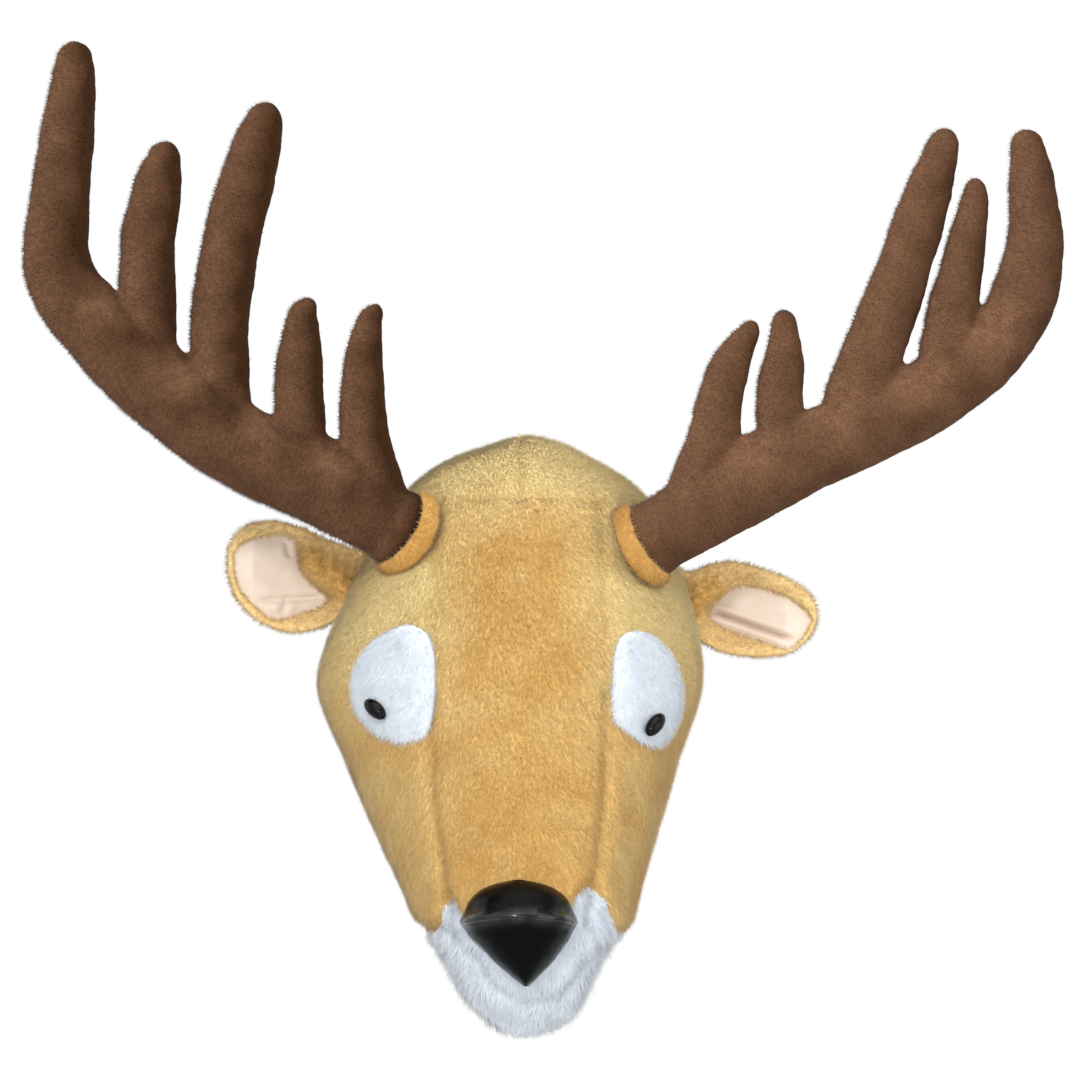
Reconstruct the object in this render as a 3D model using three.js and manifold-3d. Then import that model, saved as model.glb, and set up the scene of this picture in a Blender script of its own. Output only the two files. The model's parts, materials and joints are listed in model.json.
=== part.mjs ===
// Stuffed stag head for a wall, with two velour antlers and two flopping ears.
// Millimetres, +Z up, the face looks along -Y and the wall is the plane y = 0.
// The origin is the middle of the rear face. "Left" is the viewer's left, at -X.
import * as THREE from "three";
import { mergeVertices } from "three/addons/utils/BufferGeometryUtils.js";
import Module from "manifold-3d";

const wasm = await Module();
wasm.setup();

// Driving sizes of the head
const HEAD_HEIGHT = 302;
const HEAD_HALF_WIDTH = 95;
const HEAD_DEPTH = 252;
const CHIN_DROP = 198.5;
const SKIN = 3;
const SEAM_GAP = 0.3;
const OVERRUN = 40;

// Backing and hanger
const COVER = 1.6;
const BOARD = 10;
const POCKET_WIDTH = 34;
const POCKET_DEPTH = 5;
const POCKET_BELOW_PIVOT = 32;
const POCKET_ABOVE_PIVOT = 24;
const RING_PIVOT_SHARE = 0.79;
const RING_WIRE = 2.4;
const RING_WIDTH = 24;
const RING_DROP = 18;
const PLATE_WIDTH = 12;
const PLATE_LENGTH = 28;
const PLATE = 1.1;
const SCREW_HEAD = 6.4;
const SCREW_HEAD_HEIGHT = 1.5;
const SCREW_SHANK = 2.8;
const SCREW_FOOT = 3.6;
const RUNNING_GAP = 0.3;
const RING_SWING = 175;

// Antlers
const ANTLER_SIZE = 200;
const ANTLER_ROUNDNESS_SHARE = 0.82;
const ANTLER_CLOTH = 2.4;
const ANTLER_STAND_OFF = 14;
const ANTLER_SWAY = 10;
const COLLAR_WIDTH = 11;
const COLLAR_HEIGHT = 7;
const SWEEP_GAP = 0.6;
const ROOT_CLEARANCE = 2.6;

// Ears
const EAR_LENGTH = 60;
const EAR_THICKNESS = 5.5;
const EAR_LINING = 1.5;
const LINING_GAP = 0.7;
const EAR_CUP = 9;
const EAR_ROOT_LENGTH = 15;
const EAR_ROOT_RADIUS = 6.5;
const EAR_ROOT_OUT = 1.5;
const EAR_FLOP = 25;
const EAR_CLEARANCE = 1.4;
const EAR_SETBACK = 72;

// Eyes
const PATCH_HALF_WIDTH = 25;
const PATCH_HALF_HEIGHT = 34;
const PATCH_HEIGHT = 11;
const BEAD_RADIUS = 6.4;
const BEAD_DOME = 4.6;
const BEAD_SQUASH_SHARE = 0.75;
const SHANK_RADIUS = 1.6;
const SHANK_LENGTH = 17;
const WASHER_RADIUS = 7;
const WASHER = 1.4;

// Nose
const NOSE_HEIGHT = 52;
const NOSE_HALF_WIDTH = 28;
const NOSE_STAND_OUT = 22;
const NOSE_TOP_UP = 80;
const NOSE_BED = 8;
const NOSE_LEATHER = 1.4;

const FINISHES = {
  plush: { color: 0xd7ac6e, roughness: 0.95, metalness: 0 },
  white_plush: { color: 0xe6ebf5, roughness: 0.95, metalness: 0 },
  velour: { color: 0x5f4430, roughness: 0.95, metalness: 0 },
  lining: { color: 0xf0d7c8, roughness: 0.9, metalness: 0 },
  leatherette: { color: 0x0c0e0f, roughness: 0.3, metalness: 0 },
  bead: { color: 0x050505, roughness: 0.1, metalness: 0 },
  washer: { color: 0xdcdcd8, roughness: 0.5, metalness: 0 },
  filling: { color: 0xf3f3f0, roughness: 1, metalness: 0 },
  board: { color: 0xa98a62, roughness: 0.85, metalness: 0 },
  backing: { color: 0xb99763, roughness: 0.95, metalness: 0 },
  steel: { color: 0xb9bcc0, roughness: 0.35, metalness: 1 },
};

// Solids and meshes
function solid(geometry) {
  const bare = geometry.clone();
  bare.deleteAttribute("normal");
  bare.deleteAttribute("uv");
  const merged = mergeVertices(bare);
  const made = new wasm.Manifold(
    new wasm.Mesh({
      numProp: 3,
      vertProperties: new Float32Array(merged.attributes.position.array),
      triVerts: new Uint32Array(merged.index.array),
    }),
  );
  return made;
}

function geometryOf(body) {
  const mesh = body.getMesh();
  const geometry = new THREE.BufferGeometry();
  geometry.setAttribute("position", new THREE.BufferAttribute(new Float32Array(mesh.vertProperties), 3));
  geometry.setIndex(new THREE.BufferAttribute(new Uint32Array(mesh.triVerts), 1));
  return geometry;
}

function union(bodies) {
  return bodies.reduce((whole, body) => whole.add(body));
}

function without(body, cutters) {
  return cutters.reduce((left, cutter) => left.subtract(cutter), body);
}

// A closed skin through rings of points; each end is a single point or is closed by a fan.
function skinOf(rings) {
  const points = [];
  const faces = [];
  const starts = rings.map((ring) => {
    const start = points.length;
    points.push(...ring);
    return start;
  });
  const around = Math.max(...rings.map((ring) => ring.length));
  const at = (row, column) => starts[row] + (rings[row].length === 1 ? 0 : column % around);
  for (let row = 0; row + 1 < rings.length; row++)
    for (let column = 0; column < around; column++) {
      const corners = [at(row, column), at(row, column + 1), at(row + 1, column + 1), at(row + 1, column)];
      if (rings[row].length > 1) faces.push([corners[0], corners[1], corners[2]]);
      if (rings[row + 1].length > 1) faces.push([corners[0], corners[2], corners[3]]);
    }
  for (const [row, turned] of [[0, true], [rings.length - 1, false]]) {
    if (rings[row].length === 1) continue;
    const middle = points.length;
    const centre = new THREE.Vector3();
    rings[row].forEach((point) => centre.addScaledVector(point, 1 / around));
    points.push(centre);
    for (let column = 0; column < around; column++) {
      const [a, b] = [at(row, column), at(row, column + 1)];
      faces.push(turned ? [b, a, middle] : [a, b, middle]);
    }
  }
  return facingOut(points, faces);
}

// Builds the geometry with its faces turned so that it encloses a positive volume.
function facingOut(points, faces) {
  const volume = faces.reduce((sum, [a, b, c]) => {
    const cross = points[b].clone().cross(points[c]);
    return sum + points[a].dot(cross);
  }, 0);
  const turned = volume < 0 ? faces.map(([a, b, c]) => [a, c, b]) : faces;
  const geometry = new THREE.BufferGeometry();
  geometry.setFromPoints(points);
  geometry.setIndex(turned.flat());
  return geometry;
}

// Moves every vertex along its normal, so walls keep one thickness all round.
function grown(geometry, distance) {
  const copy = geometry.clone();
  copy.computeVertexNormals();
  const position = copy.attributes.position;
  const normal = copy.attributes.normal;
  const point = new THREE.Vector3();
  const out = new THREE.Vector3();
  for (let i = 0; i < position.count; i++) {
    point.fromBufferAttribute(position, i);
    out.fromBufferAttribute(normal, i);
    point.addScaledVector(out, distance);
    position.setXYZ(i, point.x, point.y, point.z);
  }
  return solid(copy);
}

// A prism along Y from an outline of [x, z] corners, between two depths.
function frontPrism(outline, near, far) {
  const shape = new THREE.Shape(outline.map(([x, z]) => new THREE.Vector2(x, z)));
  const geometry = new THREE.ExtrudeGeometry(shape, { depth: far - near, bevelEnabled: false });
  geometry.rotateX(Math.PI / 2);
  geometry.translate(0, far, 0);
  return solid(geometry);
}

// A prism along X from an outline of [y, z] corners, centred on x = 0.
function sidePrism(outline, halfWidth) {
  const shape = new THREE.Shape(outline.map(([y, z]) => new THREE.Vector2(y, z)));
  const geometry = new THREE.ExtrudeGeometry(shape, { depth: halfWidth + halfWidth, bevelEnabled: false });
  const turn = new THREE.Matrix4().makeBasis(
    new THREE.Vector3(0, 1, 0),
    new THREE.Vector3(0, 0, 1),
    new THREE.Vector3(1, 0, 0),
  );
  geometry.applyMatrix4(turn);
  geometry.translate(-halfWidth, 0, 0);
  return solid(geometry);
}

function cylinder(radius, from, to, sides) {
  const axis = to.clone().sub(from);
  const geometry = new THREE.CylinderGeometry(radius, radius, axis.length(), sides);
  const direction = axis.clone().normalize();
  const turn = new THREE.Quaternion().setFromUnitVectors(new THREE.Vector3(0, 1, 0), direction);
  geometry.applyQuaternion(turn);
  const middle = from.clone().add(to).multiplyScalar(1 / 2);
  geometry.translate(middle.x, middle.y, middle.z);
  return solid(geometry);
}

// A sphere scaled to three half sizes, turned by a quaternion and placed.
function egg(halves, turn, centre, around, rows) {
  const geometry = new THREE.SphereGeometry(1, around, rows);
  geometry.scale(halves.x, halves.y, halves.z);
  geometry.applyQuaternion(turn);
  geometry.translate(centre.x, centre.y, centre.z);
  return solid(geometry);
}

// Turns a body about a line through a point.
function turnedAbout(body, pivot, axis, degrees) {
  const geometry = geometryOf(body);
  const turn = new THREE.Quaternion().setFromAxisAngle(axis, THREE.MathUtils.degToRad(degrees));
  geometry.translate(-pivot.x, -pivot.y, -pivot.z);
  geometry.applyQuaternion(turn);
  geometry.translate(pivot.x, pivot.y, pivot.z);
  return solid(geometry);
}

// The space a body passes through as its hinge turns from one limit to the other.
function swept(body, pivot, axis, limit) {
  const turnShares = [-1, -1 / 2, 0, 1 / 2, 1];
  return union(turnShares.map((share) => turnedAbout(body, pivot, axis, share * limit)));
}

// Head form: heights from the chin, half widths each side and depths from the wall, as shares.
const headShares = [
  { up: 0, left: 0, right: 0, front: 0.853, middle: 0.853, back: 0.853 },
  { up: 0.007, left: 0.09, right: 0.15, front: 0.893, middle: 0.853, back: 0.817 },
  { up: 0.028, left: 0.19, right: 0.28, front: 0.93, middle: 0.857, back: 0.793 },
  { up: 0.068, left: 0.32, right: 0.38, front: 0.972, middle: 0.845, back: 0.746 },
  { up: 0.127, left: 0.415, right: 0.46, front: 1, middle: 0.821, back: 0.659 },
  { up: 0.194, left: 0.53, right: 0.6, front: 0.996, middle: 0.754, back: 0.54 },
  { up: 0.267, left: 0.65, right: 0.66, front: 0.964, middle: 0.667, back: 0.389 },
  { up: 0.353, left: 0.775, right: 0.745, front: 0.9, middle: 0.567, back: 0.175 },
  { up: 0.459, left: 0.92, right: 0.84, front: 0.817, middle: 0.476, back: -0.04 },
  { up: 0.591, left: 1.06, right: 0.97, front: 0.718, middle: 0.381, back: -0.13 },
  { up: 0.723, left: 0.92, right: 0.905, front: 0.615, middle: 0.317, back: -0.13 },
  { up: 0.823, left: 0.74, right: 0.79, front: 0.536, middle: 0.286, back: -0.095 },
  { up: 0.902, left: 0.61, right: 0.655, front: 0.464, middle: 0.262, back: -0.015 },
  { up: 0.955, left: 0.395, right: 0.41, front: 0.397, middle: 0.258, back: 0.087 },
  { up: 0.988, left: 0.1, right: 0.2, front: 0.325, middle: 0.262, back: 0.198 },
  { up: 1, left: 0, right: 0, front: 0.266, middle: 0.266, back: 0.266 },
];
const HEAD_SQUARENESS_SHARE = 2.2;
const HEAD_ROWS = 18;
const HEAD_AROUND = 24;
const EDGE_ROWS = 12;

const headForm = new THREE.CatmullRomCurve3(
  headShares.map((row) => new THREE.Vector3(row.left, row.right, row.up)),
  false,
  "catmullrom",
);
const headSpine = new THREE.CatmullRomCurve3(
  headShares.map((row) => new THREE.Vector3(row.front, row.middle, row.back)),
  false,
  "catmullrom",
);

function headSection(share) {
  const form = headForm.getPoint(share);
  const spine = headSpine.getPoint(share).multiplyScalar(-HEAD_DEPTH);
  return {
    z: form.z * HEAD_HEIGHT - CHIN_DROP,
    left: Math.max(form.x, 0) * HEAD_HALF_WIDTH,
    right: Math.max(form.y, 0) * HEAD_HALF_WIDTH,
    front: spine.x,
    middle: spine.y,
    back: spine.z,
  };
}

function headGeometry() {
  const rings = [];
  const power = 2 / HEAD_SQUARENESS_SHARE;
  for (let row = 0; row <= HEAD_ROWS; row++) {
    const { z, left, right, front, middle, back } = headSection(row / HEAD_ROWS);
    if (row === 0 || row === HEAD_ROWS) {
      rings.push([new THREE.Vector3(0, middle, z)]);
      continue;
    }
    const ring = [];
    for (let column = 0; column < HEAD_AROUND; column++) {
      const angle = (2 * Math.PI * column) / HEAD_AROUND;
      const wide = Math.cos(angle) > 0 ? right : -left;
      const across = Math.abs(Math.cos(angle)) ** power;
      const along = Math.abs(Math.sin(angle)) ** power;
      const depth = Math.sin(angle) > 0 ? back : front;
      ring.push(new THREE.Vector3(across * wide, middle + along * (depth - middle), z));
    }
    rings.push(ring);
  }
  return skinOf(rings);
}

const headSurface = headGeometry();

// The head section at a height, found by halving along the form.
function sectionAt(z) {
  let low = 0;
  let high = 1;
  for (let i = 0; i < 30; i++) {
    const half = (low + high) / 2;
    if (headSection(half).z < z) low = half;
    else high = half;
  }
  return headSection(low);
}

// The front of the head under a place in the front view, and its outward normal there.
function onHead(x, z) {
  const depthAt = (u, v) => {
    const { left, right, front, middle } = sectionAt(v);
    const across = Math.min(Math.abs(u) / (u > 0 ? right : left), 1);
    return middle + (front - middle) * (1 - across ** HEAD_SQUARENESS_SHARE) ** (1 / HEAD_SQUARENESS_SHARE);
  };
  const step = HEAD_HEIGHT / 100;
  const y = depthAt(x, z);
  const slopeX = (depthAt(x + step, z) - depthAt(x - step, z)) / (step + step);
  const slopeZ = (depthAt(x, z + step) - depthAt(x, z - step)) / (step + step);
  return { point: new THREE.Vector3(x, y, z), normal: new THREE.Vector3(slopeX, -1, slopeZ).normalize() };
}

// Seams, as places in the front view in shares of the head's half width and height
const place = ([across, up]) => [across * HEAD_HALF_WIDTH, up * HEAD_HEIGHT - CHIN_DROP];
const crossSeamShares = [
  [-2, 0.86], [-0.7, 0.875], [-0.4, 0.893], [0, 0.899], [0.4, 0.893], [0.7, 0.875], [2, 0.86],
];
const gussetShares = [[0.43, 0.92], [0.47, 0.66], [0.47, 0.52], [0.46, 0.4], [0.43, 0.33], [0.38, 0.2]];
const muzzleShares = [
  [-2, 0.1], [-0.46, 0.144], [-0.42, 0.177], [-0.34, 0.235], [-0.28, 0.265],
  [0.34, 0.272], [0.4, 0.258], [0.51, 0.208], [0.52, 0.16], [2, 0.1],
];
const mouthShares = [
  [-2, 0.2], [-0.5, 0.15], [-0.4, 0.1], [-0.25, 0.075], [0.1, 0.062], [0.35, 0.08], [0.5, 0.13], [2, 0.2],
];
const THROAT_HALF_WIDTH = 30;
const DEPTH_LIMIT = HEAD_DEPTH + OVERRUN;

// Everything above or below a seam that runs across the head.
function besideSeam(shares, side, shift) {
  const line = shares.map(place).map(([x, z]) => [x, z + side * shift]);
  const edge = side * HEAD_HEIGHT * 2;
  const outline = [...line, [line.at(-1)[0], edge], [line[0][0], edge]];
  return frontPrism(outline, -DEPTH_LIMIT, OVERRUN);
}

// The space between the two gusset seams, in front of the head's widest line.
function foreheadSpace(shift) {
  const right = gussetShares.map(place).map(([x, z]) => [x + shift, z]);
  const left = right.map(([x, z]) => [-x, z]).reverse();
  const ahead = [];
  for (let row = 0; row <= EDGE_ROWS; row++) {
    const { z, middle } = headSection(row / EDGE_ROWS);
    ahead.push([middle + shift, z]);
  }
  const top = ahead.at(-1)[1] + OVERRUN;
  const bottom = ahead[0][1] - OVERRUN;
  const outline = [
    [-DEPTH_LIMIT, bottom],
    [ahead[0][0], bottom],
    ...ahead,
    [ahead.at(-1)[0], top],
    [-DEPTH_LIMIT, top],
  ];
  const strip = frontPrism([...right, ...left], -DEPTH_LIMIT, OVERRUN);
  return strip.intersect(sidePrism(outline, HEAD_HALF_WIDTH));
}

// The strip under the jaw, behind the head's widest line.
function throatSpace(shift) {
  const line = [];
  for (let row = 0; row <= EDGE_ROWS; row++) {
    const { z, middle } = headSection(row / EDGE_ROWS / 2);
    line.push([middle - shift, z]);
  }
  const outline = [[line[0][0], -HEAD_HEIGHT], ...line, [OVERRUN, line.at(-1)[1]], [OVERRUN, -HEAD_HEIGHT]];
  return sidePrism(outline, THROAT_HALF_WIDTH + shift);
}

// Everything on one side of the middle plane, less half a seam.
function sideSpace(side, shift) {
  const near = side * shift;
  const far = side * (HEAD_HALF_WIDTH + OVERRUN);
  const outline = [[near, -HEAD_HEIGHT], [far, -HEAD_HEIGHT], [far, HEAD_HEIGHT], [near, HEAD_HEIGHT]];
  return frontPrism(side > 0 ? outline : outline.reverse(), -DEPTH_LIMIT, OVERRUN);
}

function slab(near, far) {
  const reach = HEAD_HEIGHT * 2;
  return frontPrism([[-reach, -reach], [reach, -reach], [reach, reach], [-reach, reach]], near, far);
}

// Antler forms: each row is [outward, up, half width] in shares of ANTLER_SIZE, from the root.
const antlerForms = {
  left: {
    leanDegrees: -4,
    beamShares: [
      [0, 0, 0.098], [0.205, 0.125, 0.116], [0.383, 0.198, 0.112], [0.578, 0.343, 0.113],
      [0.75, 0.503, 0.102], [0.842, 0.64, 0.093], [0.838, 0.82, 0.082], [0.822, 0.97, 0.074],
      [0.805, 1.12, 0.061], [0.803, 1.16, 0.054],
    ],
    tineShares: [
      [
        [0.622, 0.39, 0.083], [0.622, 0.67, 0.076], [0.611, 0.77, 0.073],
        [0.592, 0.87, 0.063], [0.58, 0.915, 0.05],
      ],
      [
        [0.438, 0.24, 0.085], [0.442, 0.5, 0.08], [0.41, 0.72, 0.079],
        [0.357, 0.92, 0.071], [0.333, 1.005, 0.057],
      ],
      [
        [0.238, 0.165, 0.072], [0.245, 0.32, 0.069], [0.242, 0.42, 0.063],
        [0.236, 0.52, 0.047], [0.228, 0.542, 0.037],
      ],
      [
        [0.05, 0.07, 0.082], [0.083, 0.25, 0.068], [0.082, 0.42, 0.055],
        [0.07, 0.51, 0.04], [0.06, 0.53, 0.033],
      ],
    ],
  },
  right: {
    leanDegrees: 7,
    beamShares: [
      [0, 0, 0.095], [0.273, 0.164, 0.112], [0.44, 0.24, 0.105], [0.673, 0.35, 0.102],
      [0.845, 0.465, 0.09], [0.932, 0.6, 0.088], [0.962, 0.75, 0.076], [0.952, 0.9, 0.064],
      [0.942, 0.975, 0.05],
    ],
    tineShares: [
      [
        [0.11, 0.12, 0.078], [0.153, 0.25, 0.07], [0.173, 0.35, 0.064],
        [0.202, 0.445, 0.054], [0.243, 0.515, 0.036],
      ],
      [
        [0.331, 0.21, 0.072], [0.32, 0.35, 0.066], [0.332, 0.45, 0.056],
        [0.332, 0.537, 0.04],
      ],
      [
        [0.497, 0.3, 0.09], [0.551, 0.45, 0.085], [0.623, 0.65, 0.075],
        [0.69, 0.85, 0.067], [0.73, 0.982, 0.047],
      ],
      [
        [0.725, 0.39, 0.078], [0.752, 0.55, 0.071], [0.781, 0.7, 0.059],
        [0.808, 0.838, 0.045], [0.811, 0.87, 0.036],
      ],
    ],
  },
};
const BEAM_SIDES = 8;
const TINE_SIDES = 8;
const BEAM_ROWS = 10;
const TINE_ROWS = 3;
const STUB_ROWS = 3;
const TIP_DOME_DEGREES = 50;
const ROOT_EGG_SIDES = [14, 6];

// A stuffed limb along its middle line: oval rings in the antler's plane, closed by a dome at the tip.
function limb(shares, sides, rows, slim) {
  const stations = shares.map((row) => new THREE.Vector3(...row).multiplyScalar(ANTLER_SIZE));
  const line = new THREE.CatmullRomCurve3(stations, false, "catmullrom");
  const ring = (centre, ahead, half) => {
    const points = [];
    for (let i = 0; i < sides; i++) {
      const angle = (2 * Math.PI * i) / sides;
      const across = Math.cos(angle) * half;
      const thick = Math.sin(angle) * half * ANTLER_ROUNDNESS_SHARE;
      points.push(new THREE.Vector3(centre.x - ahead.y * across, thick, centre.y + ahead.x * across));
    }
    return points;
  };
  const rings = [];
  for (let row = 0; row <= rows; row++) {
    const here = line.getPoint(row / rows);
    const ahead = line.getTangent(row / rows);
    const direction = new THREE.Vector2(ahead.x, ahead.y).normalize();
    rings.push(ring(here, direction, here.z - slim));
    if (row < rows) continue;
    const turn = THREE.MathUtils.degToRad(TIP_DOME_DEGREES);
    const half = here.z - slim;
    const centre = new THREE.Vector2(here.x, here.y).addScaledVector(direction, half * Math.sin(turn));
    rings.push(ring(centre, direction, half * Math.cos(turn)));
    const tip = new THREE.Vector2(here.x, here.y).addScaledVector(direction, half);
    rings.push([new THREE.Vector3(tip.x, 0, tip.y)]);
  }
  return solid(skinOf(rings));
}

// An antler in its own plane, with an oval root that is round about its hinge line.
function antlerBody(form, slim) {
  const [root, next] = form.beamShares;
  const ahead = new THREE.Vector2(next[0] - root[0], next[1] - root[1]).normalize();
  const half = root[2] * ANTLER_SIZE - slim;
  const round = half * ANTLER_ROUNDNESS_SHARE;
  const hingeLine = new THREE.Vector3(-ahead.y, 0, ahead.x);
  const turn = new THREE.Quaternion().setFromUnitVectors(new THREE.Vector3(0, 1, 0), hingeLine);
  const rootEgg = egg(new THREE.Vector3(round, half, round), turn, new THREE.Vector3(), ...ROOT_EGG_SIDES);
  const beam = limb(form.beamShares, BEAM_SIDES, BEAM_ROWS, slim);
  const tines = form.tineShares.map((shares) => limb(shares, TINE_SIDES, TINE_ROWS, slim));
  const reach = ANTLER_SIZE;
  const corner = (along, across) => [
    ahead.x * along * reach - ahead.y * across * reach,
    ahead.y * along * reach + ahead.x * across * reach,
  ];
  const headSide = frontPrism([corner(0, -1), corner(0, 1), corner(-1, 1), corner(-1, -1)], -reach, reach);
  return { body: union([beam, rootEgg, ...tines]), rootEgg, hingeLine, headSide };
}

// Where each antler stands on the head, in shares of its half width and height
const antlerRootShares = { left: [-0.637, 0.843], right: [0.695, 0.823] };
const antlerSides = { left: -1, right: 1 };

function antlerFrame(name) {
  const side = antlerSides[name];
  const [x, z] = place(antlerRootShares[name]);
  const { point } = onHead(x, z);
  const lean = THREE.MathUtils.degToRad(side * antlerForms[name].leanDegrees);
  const matrix = new THREE.Matrix4().makeRotationZ(lean);
  matrix.multiply(new THREE.Matrix4().makeScale(side, 1, 1));
  matrix.setPosition(x, point.y - ANTLER_STAND_OFF, z);
  return matrix;
}

function inWorld(body, matrix) {
  return body.transform(matrix.elements);
}

function buildAntler(name) {
  const form = antlerForms[name];
  const matrix = antlerFrame(name);
  const whole = antlerBody(form, 0);
  const core = antlerBody(form, ANTLER_CLOTH);
  const loose = antlerBody(form, ANTLER_CLOTH + SEAM_GAP);
  const cloth = whole.body.subtract(core.body);
  const front = cloth.intersect(slab(-OVERRUN, -SEAM_GAP / 2));
  const back = cloth.intersect(slab(SEAM_GAP / 2, OVERRUN));
  const pivot = new THREE.Vector3().setFromMatrixPosition(matrix);
  const axis = whole.hingeLine.clone().transformDirection(matrix);
  const stub = inWorld(limb(form.beamShares.slice(0, 3), BEAM_SIDES, STUB_ROWS, -ROOT_CLEARANCE), matrix);
  return {
    pieces: {
      [`antler_${name}_front_panel`]: [inWorld(front, matrix), "velour"],
      [`antler_${name}_back_panel`]: [inWorld(back, matrix), "velour"],
      [`antler_${name}_filling`]: [inWorld(loose.body, matrix), "filling"],
    },
    room: inWorld(antlerBody(form, -SWEEP_GAP).rootEgg, matrix).add(swept(stub, pivot, axis, ANTLER_SWAY)),
    headSide: inWorld(whole.headSide, matrix),
    pivot,
    axis,
  };
}

// Ears: top and bottom edges as [outward, up] in shares of EAR_LENGTH, from the hinge.
const earForms = {
  left: {
    rootUpShare: 0.735,
    tiltDegrees: 33,
    topShares: [[-0.04, 0.22], [0.12, 0.44], [0.36, 0.585], [0.63, 0.635], [0.87, 0.54], [0.985, 0.28]],
    bottomShares: [[0.04, -0.24], [0.24, -0.33], [0.47, -0.36], [0.73, -0.25], [0.9, -0.04], [0.985, 0.28]],
  },
  right: {
    rootUpShare: 0.715,
    tiltDegrees: 17,
    topShares: [[-0.05, 0.27], [0.13, 0.37], [0.33, 0.39], [0.67, 0.285], [0.91, 0.14], [1.02, -0.05]],
    bottomShares: [[0.0, -0.3], [0.24, -0.42], [0.56, -0.46], [0.8, -0.41], [0.96, -0.25], [1.02, -0.05]],
  },
};
const EAR_ROWS = 7;
const EAR_COLUMNS = 6;
const EAR_EGG_SIDES = [12, 6];
const LINING_INSET_SHARE = 0.13;

// A cupped leaf between two edges: a front grid, a back grid and the rim between them.
function leaf(form, inset, frontShift, thickness) {
  const edge = (shares) => new THREE.SplineCurve(shares.map(([out, up]) => new THREE.Vector2(out, up)));
  const top = edge(form.topShares);
  const bottom = edge(form.bottomShares);
  const rings = [];
  for (let row = 0; row <= EAR_ROWS; row++) {
    const along = inset + ((1 - 2 * inset) * row) / EAR_ROWS;
    const high = top.getPoint(along).multiplyScalar(EAR_LENGTH);
    const low = bottom.getPoint(along).multiplyScalar(EAR_LENGTH);
    const front = [];
    const back = [];
    for (let column = 0; column <= EAR_COLUMNS; column++) {
      const across = inset + ((1 - 2 * inset) * column) / EAR_COLUMNS;
      const spot = low.clone().lerp(high, across);
      const cup = EAR_CUP * 4 * across * (1 - across) * Math.sin(Math.PI * Math.min(1, along + 1 / 4));
      const y = cup + frontShift;
      const thin = thickness * (1 / 2 + (4 * across * (1 - across)) / 2);
      front.push(new THREE.Vector3(spot.x, y, spot.y));
      back.unshift(new THREE.Vector3(spot.x, y + thin, spot.y));
    }
    rings.push([...front, ...back]);
  }
  return solid(skinOf(rings));
}

function earFrame(name) {
  const side = antlerSides[name];
  const [, z] = place([0, earForms[name].rootUpShare]);
  const wide = sectionAt(z)[name];
  const matrix = new THREE.Matrix4().makeScale(side, 1, 1);
  matrix.setPosition(side * (wide + EAR_ROOT_OUT), -EAR_SETBACK, z);
  return matrix;
}

function buildEar(name) {
  const form = earForms[name];
  const matrix = earFrame(name);
  const tilt = THREE.MathUtils.degToRad(form.tiltDegrees);
  const hingeLine = new THREE.Vector3(-Math.sin(tilt), 0, Math.cos(tilt));
  const turn = new THREE.Quaternion().setFromUnitVectors(new THREE.Vector3(0, 1, 0), hingeLine);
  const rootEgg = (extra) =>
    egg(
      new THREE.Vector3(EAR_ROOT_RADIUS + extra, EAR_ROOT_LENGTH + extra, EAR_ROOT_RADIUS + extra),
      turn,
      new THREE.Vector3(),
      ...EAR_EGG_SIDES,
    );
  const lining = leaf(form, LINING_INSET_SHARE, -EAR_LINING - LINING_GAP, EAR_LINING);
  const spread = grown(geometryOf(leaf(form, 0, 0, EAR_THICKNESS)), EAR_CLEARANCE);
  const back = leaf(form, 0, 0, EAR_THICKNESS).add(rootEgg(0));
  const pivot = new THREE.Vector3().setFromMatrixPosition(matrix);
  const axis = hingeLine.clone().transformDirection(matrix);
  return {
    pieces: {
      [`ear_${name}_back`]: [inWorld(back, matrix), "plush"],
      [`ear_${name}_lining`]: [inWorld(largest(lining.subtract(rootEgg(SEAM_GAP))), matrix), "lining"],
    },
    room: inWorld(rootEgg(SWEEP_GAP), matrix).add(swept(inWorld(spread, matrix), pivot, axis, EAR_FLOP)),
    pivot,
    axis,
  };
}

// Eyes: patch middle and bead place in shares of the head's half width and height.
const BEAD_SIDES = [10, 6];
const SHANK_SIDES = 10;
const WASHER_SIDES = 12;
const PATCH_SIDES = [14, 8];
const eyeForms = {
  left: { patchShares: [-0.635, 0.587], beadShares: [-0.36, -0.42] },
  right: { patchShares: [0.675, 0.58], beadShares: [-0.15, -0.66] },
};

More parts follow.
